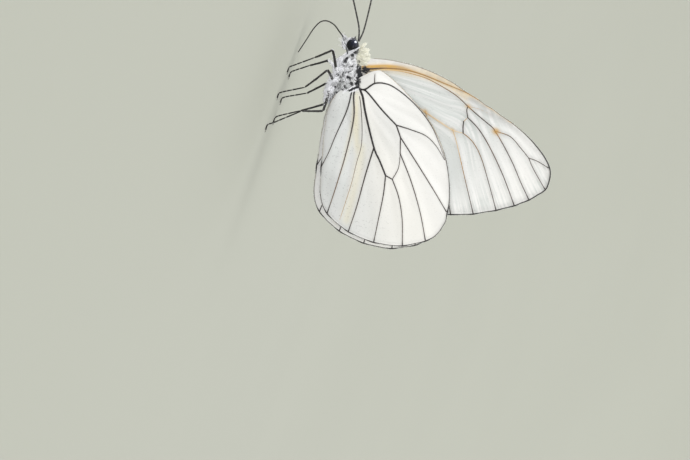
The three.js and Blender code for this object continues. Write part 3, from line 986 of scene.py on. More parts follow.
def wing_grid(kind, columns=220, rings=60):
    """The flat grid of a wing, with what its relief and colours are worked out from."""
    wing = WINGS[kind]
    edge = smooth_line(wing.outline, columns)
    lines = wing.lines()
    ends = np.array([line[-1] for line in lines.values()])
    to_end = np.linalg.norm(edge[:, None] - ends, axis=2).min(1)
    draw = SCALLOP * ease(0.0, 1.6, to_end) * (1 - ease(3.2, 4.5, to_end))
    if kind == "forewing":
        draw = draw * ease(24.0, 27.0, edge[:, 1])
    else:
        draw = draw * ease(8.0, 11.0, edge[:, 0])
    edge = edge - unit(edge - wing.outline.mean(0)) * draw[:, None]
    share = np.linspace(0, 1, rings + 1)[1:] ** 0.85
    flat = wing.root + share[:, None, None] * (edge - wing.root)
    points = flat.reshape(-1, 2)
    faint = {"fold": 0.25}  # less dusk lies by the fold
    vein = np.minimum.reduce([distance_to(points, p) + faint.get(name, 0) for name, p in lines.items()])
    rim = distance_to(points, edge)
    values = {"vein": vein.reshape(flat.shape[:2]), "rim": rim.reshape(flat.shape[:2])}
    away = flat - wing.root
    reach = np.linalg.norm(away, axis=2)
    angle = np.arctan2(away[..., 0], away[..., 1])
    if kind == "forewing":  # its streaks turn from round the root to along the outer veins
        outer = 0.085 + 2.1 * (np.arctan2(flat[..., 0] - FAN[0], flat[..., 1] - FAN[1]) - 0.902)
        angle = angle + (outer - angle) * ease(15.0, 24.0, reach)
    values["ray"] = np.stack([angle, reach, np.zeros_like(angle)], axis=2)
    values.update(TINTS[kind](flat, lines, reach))
    # Between the veins the membrane is slack, with pleats along it.
    slack = 1 - bell(values["vein"], 0.9)
    pleat = np.sin(angle * wing.pleats) * ease(3, 12, reach)
    sheer = 1 - bell(values["rim"], 0.8)
    relief = -SLACK * slack * sheer + PLEAT * pleat * slack
    return edge, flat, relief, values


def near(flat, line, width):
    """1 along a line over the flat places of a wing, and less beside it."""
    return bell(distance_to(flat.reshape(-1, 2), line), width).reshape(flat.shape[:2])


def along_path(flat, path, width):
    """The same along the smooth line through a few points."""
    return near(flat, smooth_line(path, 40), width)


# Amber where the forewing's veins fork: place, size and strength.
AMBER_FORKS = (
    ((-2.0, 33.95), 0.42, 2.0), ((-1.1, 22.4), 0.36, 1.1), ((-4.25, 28.5), 0.34, 1.0),
    ((0.15, 27.6), 0.3, 0.7), ((0.6, 28.0), 0.22, 0.5),
)
OUTER_MARGIN = [(1.0, 44.2), (2.7, 44.5), (4.7, 43.9), (8.0, 40.6), (11.4, 35.0), (13.1, 30.1), (13.0, 27.9)]


def forewing_tints(flat, lines, reach):
    """Where a forewing is grey, warm, amber and dusty, from 0 to 1."""
    aft, up = flat[..., 0], flat[..., 1]
    cell = along_path(flat, [(-3.6, 13.5), (-3.9, 19.0), (-3.2, 24.5), (-2.3, 28.2)], 2.2)
    grey = np.clip(0.75 * (1 - ease(21.0, 32.0, reach)) + 0.5 * cell, 0, 1) * ease(-0.4, 0.9, aft + 6.0)
    grey = grey * ease(1.0, 5.0, reach)
    front = [(-5.4, 12.5), (-6.4, 16.0), (-6.95, 20.0), (-6.85, 24.0), (-6.2, 27.8)]
    below = [(-4.6, 13.5), (-5.6, 17.0), (-6.2, 20.5), (-6.1, 24.5), (-5.2, 27.8)]
    strip = [(-6.35, 26.5), (-5.65, 30.0), (-4.9, 33.0), (-4.0, 36.3)]
    warm = 0.8 * along_path(flat, front, 0.7) * (0.15 + 0.85 * ease(15.0, 22.0, up))
    warm = warm + 0.45 * along_path(flat, below, 0.35) * ease(13.0, 18.0, up)
    warm = np.clip(warm + 0.75 * along_path(flat, strip, 0.3) * (1 - ease(31, 39, up)), 0, 1)
    # The amber band lies along the first vein, most of it in front, and thins out on the way.
    beside = 1.7 * near(flat, lines["Sc"] + (-0.14, -0.02), 0.42) * (1 - ease(14.0, 20.0, up))
    amber = beside + 0.75 * near(flat, lines["Sc"], 0.2) * (1 - ease(22.0, 30.0, up))
    for (fork_aft, fork_up), size, much in AMBER_FORKS:
        amber = amber + much * bell(np.hypot(aft - fork_aft, up - fork_up), size)
    fades = ease(20.0, 22.5, up) * (1 - ease(26.0, 29.0, up))
    amber = np.clip(amber + 0.3 * near(flat, lines["Cu"], 0.2) * fades, 0, 1)
    to_margin = distance_to(flat.reshape(-1, 2), smooth_line(OUTER_MARGIN, 40)).reshape(aft.shape)
    in_cell = along_path(flat, [(-3.4, 14.0), (-3.0, 21.0), (-1.5, 27.5)], 2.4)
    dust = 0.12 + 0.55 * (1 - ease(0.3, 6.0, to_margin)) + 0.25 * in_cell
    return {"grey": grey, "warm": warm, "amber": amber, "dust": dust}


def hindwing_tints(flat, lines, reach):
    """Where a hindwing is grey and warm. Its grey part is a sector beside the body: painted shade of the
    abdomen's shadow through the wing.
    """
    aft, up = flat[..., 0], flat[..., 1]
    angle = np.degrees(np.arctan2(up - 10.9, aft + 1.4))
    # painted shade: grey beside the body, where the abdomen behind the wing shadows it
    grey = 1 - ease(8.0, 46.0, angle)
    grey = np.clip(grey + 0.35 * bell(np.hypot(aft - 4.0, up - 17.0), 5.0), 0, 1)
    streak = along_path(flat, [(0.1, 11.4), (2.5, 12.3), (6.7, 13.8), (8.6, 14.4)], 0.5)
    onward = along_path(flat, [(7.6, 14.9), (10.2, 15.5), (13.4, 16.0), (16.5, 16.3), (19.0, 16.6)], 0.75)
    glow = along_path(flat, [(0.6, 11.15), (3.8, 12.3), (9.4, 13.0), (13.0, 13.3)], 0.42)
    warm = 0.8 * (streak * (1 - ease(6.0, 9.5, aft)) + 0.75 * onward)
    warm = warm + 0.55 * glow * ease(0.5, 2.5, aft) * (1 - ease(8.0, 14.0, aft))
    warm = np.clip(warm + 0.14 * bell(angle - 38.0, 14.0), 0, 1)
    return {"grey": grey, "warm": warm, "amber": 0 * grey, "dust": 0 * grey}


TINTS = {"forewing": forewing_tints, "hindwing": hindwing_tints}


def raised(kind, side, flat, relief=0.0):
    """Flat places of a wing as points of its middle surface."""
    placed = WINGS[kind].turned(flat.reshape(-1, 2), side).reshape(flat.shape)
    out = STAND_OUT[kind](placed) + relief
    return np.concatenate([side * out[..., None], placed], axis=-1)


def membrane(kind, side, plan):
    """A thin closed sheet: two faces and a rim."""
    _, flat, relief, values = plan
    rings, columns = flat.shape[:2]
    taper = np.minimum(1.0, 0.35 + values["rim"] / 0.4)
    verts, kept = [], {k: [] for k in values}
    cleaner_and_painted_lighter = {"grey": 0.3, "rim": 3.0, "vein": 2.0}  # the upper side is whiter than the lower, and is painted lighter still as painted light for the strip that lies in shade between the wings
    for face in (1, -1):
        half = face * THICK / 2
        verts.append(raised(kind, side, WINGS[kind].root[None], half))
        verts.append(raised(kind, side, flat, relief + half * taper).reshape(-1, 3))
        for k, v in values.items():
            # painted light and a cleaner upper side: the inner faces get less grey and less dusk by veins
            # and rim
            in_rows = v.reshape(rings * columns, -1) * (cleaner_and_painted_lighter.get(k, 1) if face < 0 else 1)
            kept[k] += [in_rows[:1], in_rows]
    n = 1 + np.arange(rings * columns).reshape(rings, columns)
    over = 1 + rings * columns  # from a corner of one face to the same corner of the other
    a, b, c, d = n[:-1, :-1], n[:-1, 1:], n[1:, 1:], n[1:, :-1]
    outer = np.stack([a, b, c, d], axis=2).reshape(-1, 4)
    inmost = np.stack([np.zeros(columns - 1, int), n[0, 1:], n[0, :-1]], axis=1)
    rim = np.concatenate([[0], n[:, 0], n[-1, 1:], n[:-1, -1][::-1]])
    after = np.roll(rim, -1)
    wall = np.stack([rim, after, after + over, rim + over], axis=1)
    quads = np.vstack([outer[:, ::-1], outer + over, wall])
    tris = np.vstack([inmost[:, ::-1], inmost + over])
    if side > 0:
        quads, tris = quads[:, ::-1], tris[:, ::-1]
    values = {k: np.concatenate(v) for k, v in kept.items()}
    values = {k: v if v.shape[1] == 3 else v[:, 0] for k, v in values.items()}
    return Shape(np.concatenate(verts), quads, tris, values)


def inked(inks, count):
    """The tone, amber and pale values along a vein."""
    ink = np.interp(np.linspace(0, 1, count), np.linspace(0, 1, len(inks)), inks)[:, None]
    return {key: np.clip(ink - n, 0, 1) for n, key in enumerate(("tone", "amber", "pale"))}


def lengthened(line, more):
    """A line that goes straight on at both ends by more."""
    first = line[0] + unit(line[0] - line[1]) * more
    last = line[-1] + unit(line[-1] - line[-2]) * more
    return np.vstack([first, line, last])


def vein_tube(kind, side, points, wide, inks):
    """One vein, that tapers and changes its ink on the way."""
    length = np.linalg.norm(np.diff(points, axis=0), axis=1).sum()
    flat = lengthened(smooth_line(points, max(8, int(length / 0.25))), 0.07)
    count = len(flat)
    t = np.linspace(0, 1, count)
    half = (wide[0] + (wide[1] - wide[0]) * t**0.8) / 2
    half = half * (1 + 0.05 * np.sin(np.arange(count) * 2.1))
    return sweep(raised(kind, side, flat), half, half * 0.85, 8, (0, 1, 0.3)).shape(**inked(inks, count))


def rim_tube(kind, side, edge):
    """The fine vein along the rim. It is thickest and darkest at the tip of the forewing."""
    way = np.arange(len(edge)) / len(edge)
    if kind == "forewing":
        tip = bell(np.linalg.norm(edge - (2.7, 44.5), axis=1), 9.0)
        front, beside = 1 - ease(0.28, 0.38, way), 0 * way
        thinner, paler = 0.012, 0.2
    else:
        tip = 0 * way
        front, beside = 1 - ease(0.22, 0.3, way), ease(0.76, 0.84, way)
        thinner, paler = 0.026, 0.7
    half = 0.056 + 0.05 * tip - thinner * front - 0.026 * beside
    tone = (0.55 - 0.45 * tip + 0.45 * np.maximum(front, beside))[:, None]
    pale = (paler * front + 0.35 * beside)[:, None]
    return sweep(raised(kind, side, edge), half, half, 6).shape(tone=tone, amber=0.0, pale=pale)


def vein_end(kind, side, edge, line):
    """A small dark swelling of the rim where a vein meets it, and of the vein's own end."""
    k = int(np.clip(np.linalg.norm(edge - line[-1], axis=1).argmin(), 4, len(edge) - 5))
    along_rim = smooth_line(edge[k - 4 : k + 5], 13)
    swell = 0.13 * np.sin(np.linspace(0.25, math.pi - 0.25, 13))
    stub = smooth_line([line[-1], line[-1] * 0.94 + line[-6] * 0.06, line[-4]], 6)
    fading = np.linspace(0.1, 0.7, 6)[:, None]
    for flat, half, tone in ((along_rim, swell, 0.1), (stub, np.linspace(0.13, 0.09, 6), fading)):
        yield sweep(raised(kind, side, flat), half, half * 0.8, 8).shape(tone=tone, amber=0.0, pale=0.0)


def vein_tubes(kind, side, plan):
    """All veins of a wing with its rim and the swellings on it."""
    wing, edge = WINGS[kind], plan[0]
    shapes = [vein_tube(kind, side, *vein) for vein in wing.veins.values()]
    shapes.append(rim_tube(kind, side, edge[5:-5]))
    for name, line in wing.lines().items():
        meets_rim = np.linalg.norm(edge - line[-1], axis=1).min() < 0.6
        if meets_rim and name not in wing.plain_ends:
            shapes += vein_end(kind, side, edge, line)
    return join(shapes)


# ------------------------------------------------------------------ limbs

# Joints of each leg: hip, end of coxa, knee, ankle, sole and toe, as (out, aft, up).
LEGS = {
    "front_left": [
        (1.2, -3.3, 8.1), (1.8, -2.5, 7.1), (2.9, -5.2, 5.6),
        (3.2, -3.1, 3.35), (3.25, -0.9, 0.75), (3.3, 0.5, 0.2),
    ],
    "front_right": [
        (1.2, -3.4, 8.0), (1.8, -2.8, 6.9), (3.4, -3.9, 5.2),
        (3.6, -2.1, 2.6), (3.5, -0.6, 0.7), (3.4, 0.8, 0.2),
    ],
    "middle_left": [
        (1.3, -1.4, 8.0), (1.9, -0.9, 7.1), (4.6, -1.9, 6.0),
        (5.1, 1.9, 3.6), (5.1, 3.6, 0.8), (5.0, 4.9, 0.2),
    ],
    "middle_right": [
        (1.3, -1.2, 8.0), (1.9, -0.7, 7.1), (4.6, -0.4, 6.0),
        (5.1, 2.1, 3.6), (5.1, 3.7, 0.8), (5.0, 5.0, 0.2),
    ],
    "hind_left": [
        (1.2, 0.2, 7.8), (1.7, 0.9, 7.1), (3.3, 4.3, 7.45),
        (5.0, 5.5, 4.4), (5.2, 8.7, 0.9), (5.1, 10.2, 0.2),
    ],
    "hind_right": [
        (1.2, 0.1, 7.8), (1.7, 0.8, 7.1), (3.3, 2.9, 6.9),
        (5.0, 5.1, 3.6), (5.2, 6.9, 0.8), (5.1, 8.4, 0.2),
    ],
}
FOOT_JOINTS = (0.42, 0.17, 0.13, 0.12, 0.16)  # their shares of the foot


def mirrored_legs():
    """Each leg's name and its joints on its own side."""
    for name, joints in LEGS.items():
        side = 1 if name.endswith("left") else -1
        yield name, [(side * out, aft, up) for out, aft, up in joints]


def limb(start, end, thick, thin, bow=0.0, count=24, sides=14, belly=0.0):
    """One straight or slightly bowed length of leg, fuller in its first half by belly."""
    start, end = np.array(start, float), np.array(end, float)
    t = np.linspace(0, 1, count)[:, None]
    line = start + (end - start) * t + np.array([0, 0, bow]) * np.sin(math.pi * t)
    half = rounded(count, thick, thin, 0.05) * (1 + belly * np.sin(math.pi * t[:, 0] ** 0.7))
    return sweep(line, half, half * 1.05, sides)


def prong(line, thick, thin, sides=6):
    """A thin hard point: a claw, a spur or a spine."""
    return sweep(line, rounded(len(line), thick, thin), None, sides)


def foot_parts(ankle, sole, toe):
    """Five flared joints and two claws."""
    heel = sole + (toe - sole) * 0.4
    heel[2] = 0.17
    path = smooth_line([ankle, (ankle + sole) / 2, sole, heel, toe - (0, 0, 0.04)], 60)
    ends = np.cumsum([0, *FOOT_JOINTS])
    parts = {}
    for i in range(len(FOOT_JOINTS)):
        a, b = (int(59 * x / ends[-1]) for x in ends[i : i + 2])
        flare = 0.1 + 0.03 * np.linspace(0, 1, 12) ** 2
        parts[f"foot_{i}"] = sweep(evenly(path[a : b + 1], 12), flare * rounded(12, ends=0.12), None, 10)
    end, way = path[-1], unit(path[-1] - path[-6])
    for k in (-1, 1):
        spread = np.array([0.11 * k, 0, 0])
        claw = [
            end - way * 0.05,
            end + way * 0.14 + spread + (0, 0, 0.05),
            end + way * 0.3 + spread * 1.6,
            end + way * 0.34 + spread * 1.7 - (0, 0, 0.1),
        ]
        parts[f"claw_{k}"] = prong(smooth_line(claw, 10), 0.045, 0.012)
    return parts


def shin_parts(knee, ankle, side):
    """Two spurs at the end of the tibia, and two rows of short spines along it."""
    shin = unit(ankle - knee)
    parts = {}
    for k in (-1, 1):
        bend = ankle + shin * 0.1 + (0.12 * k, 0, -0.06)
        spur = [ankle - shin * 0.12, bend, ankle + shin * 0.3 + (0.16 * k, 0, -0.1)]
        parts[f"spur_{k}"] = prong(smooth_line(spur, 6), 0.04, 0.012)
    for n, t in enumerate(np.linspace(0.25, 0.9, 7)):
        foot = knee + (ankle - knee) * t + (0, 0, 0.05 * math.sin(math.pi * t))
        for k in (-1, 1):
            spine = np.array([foot, foot + shin * 0.12 + (0.2 * k * side, 0, -0.05)])
            parts[f"spine_{n}_{k}"] = prong(evenly(spine, 4), 0.022, 0.006, 5)
    return parts


def leg_parts(joints):
    """The surfaces of a leg: coxa, trochanter, femur, tibia, foot, claws, spurs and spines."""
    hip, coxa, knee, ankle, sole, toe = (np.array(j, float) for j in joints)
    thigh = knee - coxa
    return {
        "coxa": limb(hip * (0.8, 1, 1), coxa, 0.46, 0.27, belly=0.12),
        "trochanter": limb(coxa - thigh * 0.03, coxa + thigh * 0.1, 0.23, 0.21, count=10),
        "femur": limb(coxa + thigh * 0.04, knee, 0.19, 0.17, 0.08, belly=0.2),
        "tibia": limb(knee, ankle, 0.165, 0.135, 0.05),
        **foot_parts(ankle, sole, toe),
        **shin_parts(knee, ankle, np.sign(hip[0])),
    }


FEELERS = {
    "left": [
        (0.42, -8.1, 8.8), (0.85, -10.0, 8.2), (1.75, -12.6, 6.65), (2.8, -15.4, 4.85), (4.0, -18.1, 3.25),
        (5.0, -19.75, 2.3),
    ],
    "right": [
        (-0.42, -8.1, 8.8), (-0.85, -9.9, 8.95), (-2.0, -12.9, 8.65), (-3.2, -16.6, 8.15),
        (-4.3, -19.9, 7.75), (-4.95, -21.75, 7.5),
    ],
}
TONGUE = [
    (0, -7.45, 7.1), (0, -7.8, 6.5), (0, -8.45, 5.5), (0, -9.2, 4.35), (0, -9.42, 3.1), (0, -8.9, 2.1),
    (0, -7.5, 1.45), (0, -5.6, 1.0), (0, -3.2, 0.42),
]
PALP = [(0.42, -6.35, 7.45), (0.46, -6.95, 6.98), (0.45, -7.5, 6.78), (0.4, -8.0, 6.62)]


def two_grooves(angle):
    """The outline of the tongue: round, with a groove in front and one behind."""
    return 1 - 0.16 * np.abs(np.sin(angle)) ** 8


def palp_surface():
    """The left palp, which reaches forwards below the face."""
    line = smooth_line(PALP, 40)
    return sweep(line, rounded(40, 0.26, 0.17, 0.12), rounded(40, 0.32, 0.2, 0.12), 20)


def feeler(points):
    """A feeler of many short joints that ends in a flattened club with a pale tip."""
    joints, steps = 40, 6
    count = joints * steps
    line = smooth_line(points, count)
    t = np.linspace(0, 1, count)
    club = ease(0.84, 0.93, t) * (1 - 0.35 * ease(0.95, 1.0, t))
    half = 0.135 + 0.03 * (1 - ease(0.0, 0.06, t)) + 0.19 * club
    bead = 0.93 + 0.09 * ((np.arange(count) % steps) / (steps - 1)) ** 1.5
    half = half * bead * np.sqrt(np.clip((1 - t) / 0.02, 0.03, 1))
    surface = sweep(line, half, half * (1 - 0.3 * club), 16)
    pale = ease(0.962, 0.985, t)[:, None]
    every_other = 0.4 + 0.6 * ((np.arange(count) // steps) % 2)
    dust = (0.32 * (1 - ease(0.8, 0.9, t)) * every_other)[:, None]
    return surface.shape(pale=pale, dust=dust)


# ------------------------------------------------------------------ sizes and colours


def colour(name, description, red, green, blue):
    return bpy.props.FloatVectorProperty(
        name=name, description=description, default=(red, green, blue), subtype="COLOR", min=0, max=1
    )


def length(name, description, millimetres):
    return bpy.props.FloatProperty(
        name=name, description=description, default=millimetres * MM, unit="LENGTH", min=0, precision=5
    )


class ButterflySizes(bpy.types.PropertyGroup):
    """Sizes of the coat and limbs."""

    thorax_hair: length("Thorax hair", "Length of the hair on the thorax", 1.15)
    collar_hair: length("Collar hair", "Length of the cream hair behind the head", 1.55)
    head_hair: length("Head hair", "Length of the hair on the head", 0.5)
    hair_width: length("Hair width", "Half width of a hair of the coat at its root", 0.026)
    tongue_width: length("Tongue width", "Half width of the tongue where it leaves the head", 0.15)
    lens: length("Camera lens", "Focal length of the camera", 120.0)
    distance: length("Camera distance", "How far the camera is from the butterfly", 362.0)
    seed: bpy.props.IntProperty(name="Seed", description="Start of the random coat", default=7, min=0)


class ButterflyColours(bpy.types.PropertyGroup):
    """Colours of the wings, coat and limbs."""

    wing_white: colour("Wing white", "Cream white of the wings", 0.845, 0.84, 0.82)
    wing_grey: colour("Wing grey", "Grey of the thinly scaled parts", 0.745, 0.75, 0.745)
    wing_clear: colour("Wing clear", "Clear streaks of the forewing", 0.55, 0.59, 0.57)
    # painted shade: the abdomen's shadow through the hindwing beside the body
    wing_painted_shade: colour("Wing shade", "Soft grey of the hindwing beside the body", 0.58, 0.59, 0.585)
    wing_peach: colour("Wing peach", "Warm front edge of the forewing", 0.84, 0.68, 0.42)
    wing_straw: colour("Wing straw", "Yellowish streak of the hindwing", 0.70, 0.66, 0.52)
    wing_amber: colour("Wing amber", "Amber of the forewing's base and forks", 0.64, 0.36, 0.05)
    wing_dusk: colour("Wing dusk", "Dusky scales along veins and rim", 0.36, 0.35, 0.34)
    vein_black: colour("Vein black", "Veins near the body", 0.012, 0.010, 0.012)
    vein_brown: colour("Vein brown", "Veins near the rim", 0.09, 0.069, 0.06)
    vein_amber: colour("Vein amber", "Amber veins of the forewing", 0.46, 0.25, 0.06)
    skin_dark: colour("Skin dark", "Skin under the coat", 0.05, 0.05, 0.055)
    skin_pale: colour("Skin pale", "Pale skin of the thorax and of the abdomen below", 0.62, 0.63, 0.65)
    hair_white: colour("Hair white", "White hair of the coat", 0.95, 0.955, 0.985)
    hair_black: colour("Hair black", "Black hair of the coat", 0.012, 0.013, 0.017)
    hair_cream: colour("Hair cream", "Cream hair of the collar", 0.93, 0.92, 0.80)
    hair_grey: colour("Hair grey", "Greenish grey hair behind the legs", 0.56, 0.60, 0.58)
    horn_black: colour("Horn black", "Horn of legs and feelers", 0.008, 0.0075, 0.008)
    horn_brown: colour("Horn brown", "Worn and lit parts of the horn", 0.022, 0.020, 0.017)
    horn_dust: colour("Horn dust", "Pale scales on the horn", 0.50, 0.51, 0.50)
    club_tip: colour("Club tip", "Pale tip of a feeler", 0.62, 0.50, 0.30)
    tongue_dark: colour("Tongue dark", "Rings of the tongue", 0.010, 0.009, 0.008)
    tongue_brown: colour("Tongue brown", "Between the rings of the tongue", 0.034, 0.026, 0.016)
    eye_black: colour("Eye black", "Depth of the eye", 0.0015, 0.0015, 0.0025)
    eye_blue: colour("Eye blue", "Bluish bloom of the eye", 0.003, 0.0035, 0.008)
    floor: colour("Floor", "Floor and backdrop", 0.385, 0.395, 0.345)


# ------------------------------------------------------------------ operators


_plans = {}


def plan_of(kind):
    """The grid of a kind of wing, worked out once."""
    if kind not in _plans:
        _plans[kind] = wing_grid(kind)
    return _plans[kind]


def random_for(step):
    """Each step's own random numbers, the same on every run."""
    return np.random.default_rng(sizes().seed * 1000 + step)


def thin(count):
    """The number of hairs to grow, left as it is."""
    return count


class BUTTERFLY_OT_body(bpy.types.Operator):
    """Skin of the head, thorax and abdomen in one piece"""

    bl_idname = "butterfly.body"
    bl_label = "Body"

    def execute(self, context):
        surface = body_surface()
        aft, up = surface.grid[..., 1], surface.grid[..., 2]
        belly = ease(2.6, 3.6, aft) * (1 - ease(-0.6, 0.3, above_middle(aft, up)))
        breast = 0.95 * (1 - ease(2.0, 3.0, aft)) * (1 - darkness(surface.grid))
        pale = np.maximum(belly, breast)
        nodes = ("head", "collar", "thorax", "abdomen")
        piece("body", surface.shape(pale=pale), shared(skin_finish), "fur", *nodes)
        return {"FINISHED"}


class BUTTERFLY_OT_eyes(bpy.types.Operator):
    """Two glossy eyes, a little flattened against the head"""

    bl_idname = "butterfly.eyes"
    bl_label = "Eyes"

    def execute(self, context):
        gloss = eye_finish()
        t = np.linspace(0.03, math.pi - 0.03, 48)
        line = np.column_stack([-np.cos(t), 0 * t, 0 * t])
        ball = sweep(line, np.sin(t), None, 64, (0, 1, 0)).shape()
        left = Shape(ball.verts * EYE_SIZE + EYE, ball.quads, ball.tris)
        for name, side in SIDES:
            eye = piece(f"eye_{name}_ball", left.mirrored(side), gloss, "eye", f"eye_{name}")
            bpy.data.collections[EYES].objects.link(eye)
        return {"FINISHED"}


class BUTTERFLY_OT_mouth(bpy.types.Operator):
    """Palps and the two-grooved tongue"""

    bl_idname = "butterfly.mouth"
    bl_label = "Palps and tongue"

    def execute(self, context):
        left = palp_surface().shape(pale=1.0)
        for name, side in SIDES:
            piece(f"palp_{name}_skin", left.mirrored(side), shared(skin_finish), "fur", f"palp_{name}")
        line = smooth_line(TONGUE, 260)
        t = np.linspace(0, 1, 260)
        half = sizes().tongue_width / MM * (1 - 0.28 * t) * rounded(260, ends=0.02)
        shape = sweep(line, half, half * 0.92, 18, lobe=two_grooves).shape(reach=t[:, None])
        piece("tongue", shape, tongue_finish(), "tongue", "proboscis")
        return {"FINISHED"}


class BUTTERFLY_OT_feelers(bpy.types.Operator):
    """Jointed feelers with their clubs"""

    bl_idname = "butterfly.feelers"
    bl_label = "Feelers"

    def execute(self, context):
        for name, points in FEELERS.items():
            nodes = (f"antenna_{name}_shaft", f"antenna_{name}_club")
            piece(f"feeler_{name}", feeler(points), shared(horn_finish), "horn", *nodes)
        return {"FINISHED"}


class BUTTERFLY_OT_legs(bpy.types.Operator):
    """Six jointed legs with spines, spurs and claws"""

    bl_idname = "butterfly.legs"
    bl_label = "Legs"

    def execute(self, context):
        dust = {"coxa": 0.8, "trochanter": 0.3, "femur": 0.1, "tibia": 0.06}
        for name, joints in mirrored_legs():
            shapes = []
            for key, surface in leg_parts(joints).items():
                much = np.full(surface.grid.shape[:2], dust.get(key, 0.03))
                if key == "femur":
                    much = much * np.linspace(1.4, 0.1, len(much))[:, None]
                shapes.append(surface.shape(dust=np.clip(much, 0, 1), pale=0.0))
            nodes = [f"leg_{name}_{part}" for part in ("coxa", "femur", "tibia", "foot")]
            piece(f"leg_{name}", join(shapes), shared(horn_finish), "horn", *nodes)
        return {"FINISHED"}


class BUTTERFLY_OT_wings(bpy.types.Operator):
    """Four thin scaled membranes"""

    bl_idname = "butterfly.wings"
    bl_label = "Wing membranes"

    def execute(self, context):
        for kind in WINGS:
            made = wing_finish(kind)
            for name, side in SIDES:
                shape = membrane(kind, side, plan_of(kind))
                piece(f"{kind}_{name}_membrane", shape, made, "membrane", f"{kind}_{name}")
        return {"FINISHED"}


class BUTTERFLY_OT_veins(bpy.types.Operator):
    """The dark veins of every wing"""

    bl_idname = "butterfly.veins"
    bl_label = "Veins"

    def execute(self, context):
        made = vein_finish()
        for kind in WINGS:
            for name, side in SIDES:
                piece(f"{kind}_{name}_veins", vein_tubes(kind, side, plan_of(kind)), made, "membrane")
        return {"FINISHED"}


# The cream plumes of the left half of the collar: the line of each, and its half width and depth.
PLUMES = (
    ([(0.5, -6.9, 9.3), (0.62, -7.4, 9.6), (0.62, -7.95, 9.95)], 0.26, 0.22),
    ([(0.8, -6.3, 9.5), (1.05, -6.75, 10.1), (0.95, -7.2, 10.6)], 0.42, 0.34),
    ([(0.9, -5.9, 9.8), (1.15, -6.2, 10.45), (1.0, -6.5, 11.0)], 0.46, 0.38),
    ([(0.9, -5.4, 10.0), (1.15, -5.6, 10.75), (1.0, -5.9, 11.4)], 0.48, 0.4),
    ([(0.9, -4.9, 10.1), (1.1, -5.0, 10.85), (0.9, -5.2, 11.5)], 0.42, 0.34),
)


def plume(line, wide, high):
    """A pad that stands up from the collar."""
    size = rounded(40, 1.0, 0.7, 0.35)
    return sweep(smooth_line(line, 40), wide * size, high * size, 24, (0, 1, 1))


def black_and_white(name, hairs):
    """Two pieces, of the white hairs and of the black ones."""
    for key, material in (("white", clean_hair), ("black", black_hair)):
        piece(f"{name}_{key}", join(hairs[key]), shared(material), "fur")


# The nearer parts of the thighs of a front and a middle leg, as (aft, up).
THIGHS = ([(-2.5, 7.15), (-5.2, 5.6)], [(-1.0, 7.05), (-1.9, 6.0)])
# Black tufts over the wing hinges: line, half width and hairs.
HINGE_TUFTS = (
    ([(1.45, -4.15, 10.15), (1.4, -3.5, 10.5), (1.35, -3.05, 10.9), (1.35, -2.3, 10.75), (1.35, -1.6, 10.95),
      (1.35, -1.25, 11.25)], 0.36, 1500),
    ([(1.3, -3.5, 10.7), (1.3, -4.2, 11.2), (1.25, -4.8, 11.0)], 0.16, 280),
    ([(1.3, -4.2, 11.2), (1.3, -4.4, 11.6), (1.25, -4.5, 11.9)], 0.1, 120),
)
HINGE_WHITE = (-3.75, 10.85, 0.26)  # a place that they leave bare: aft, up and radius
# Bars of hair that sweep up behind to the base of the hindwing.
REAR_BARS = (
    ("white", [(1.85, 0.9, 9.0), (1.8, 0.2, 9.45), (1.75, -0.35, 9.95), (1.7, -1.1, 10.6)]),
    ("black", [(1.75, -0.1, 10.1), (1.7, -0.45, 10.4), (1.65, -0.97, 10.95)]),
    ("white", [(1.7, 0.35, 10.15), (1.65, -0.1, 10.5), (1.6, -0.74, 11.2)]),
)


def thorax_flow(normal, along, root):
    """The way that the coat of the thorax lies: aft, swept down in front and up behind the legs."""
    aft, up = root[:, 1], root[:, 2]
    swept = along.copy()
    swept[:, 2] += 0.75 * ease(-2.2, 0.2, aft) * ease(7.6, 8.8, up) - 0.35 * (1 - ease(-5.5, -3.0, aft))
    return unit(swept - normal * (swept * normal).sum(1, keepdims=True))


def collar_flow(normal, along, root):
    """The short hair of the collar stands up and a little forwards."""
    return unit(along * 0.25 + (0, -0.4, 0.75))


def thorax_reach(root):
    """How long the coat of the thorax is: longer below the middle and the hind legs."""
    aft, up = root[:, 1], root[:, 2]
    below = (1 - ease(6.8, 8.0, up)) * (0.15 + 0.85 * ease(-3.6, -1.6, aft))
    return sizes().thorax_hair / MM * (0.72 + 0.55 * below) * (1 - 0.35 * ease(10.2, 11.2, up))


def thorax_lift(root):
    """How much the coat of the thorax stands up: more below."""
    return 0.3 + 0.16 * (1 - ease(6.8, 8.2, root[:, 2]))


def over_thigh(at):
    """Above 1 where hair would hide the thigh of a front or middle leg, and 0 away from them."""
    away = np.minimum(*(distance_to(at[:, 1:], np.array(thigh)) for thigh in THIGHS))
    return 1.2 * (1 - ease(0.18, 0.4, np.minimum(away, 9.0)))


def clear_of_dark(rng, root, hair):
    """Which hairs don't lie over a dark tuft or a thigh. hair is each one's way and length."""
    over = [darkness(root + hair * share) for share in (0.45, 0.8)]
    over += [over_thigh(root + hair * share) for share in (0.3, 0.6, 0.9)]
    return np.maximum.reduce(over) < rng.uniform(0.3, 1.0, len(root))


def grow(rng, name, count, weight, material, reach, lift, wide, clear=False, flow=thorax_flow, slot="fur",
         **ways):
    """A piece of hair on the body, sown by weight. reach and lift may depend on the root."""
    root, normal, along, place = body_surface().sow(rng, thin(count), weight)
    flow = flow(normal, along, root)
    if clear:
        kept = clear_of_dark(rng, root, flow * (sizes().thorax_hair / MM))
        root, normal, flow, place = (v[kept] for v in (root, normal, flow, place))
    reach, lift = (v(root) if callable(v) else v for v in (reach, lift))
    piece(name, fur(rng, root, normal, flow, place, reach, lift, wide, **ways), material, slot)


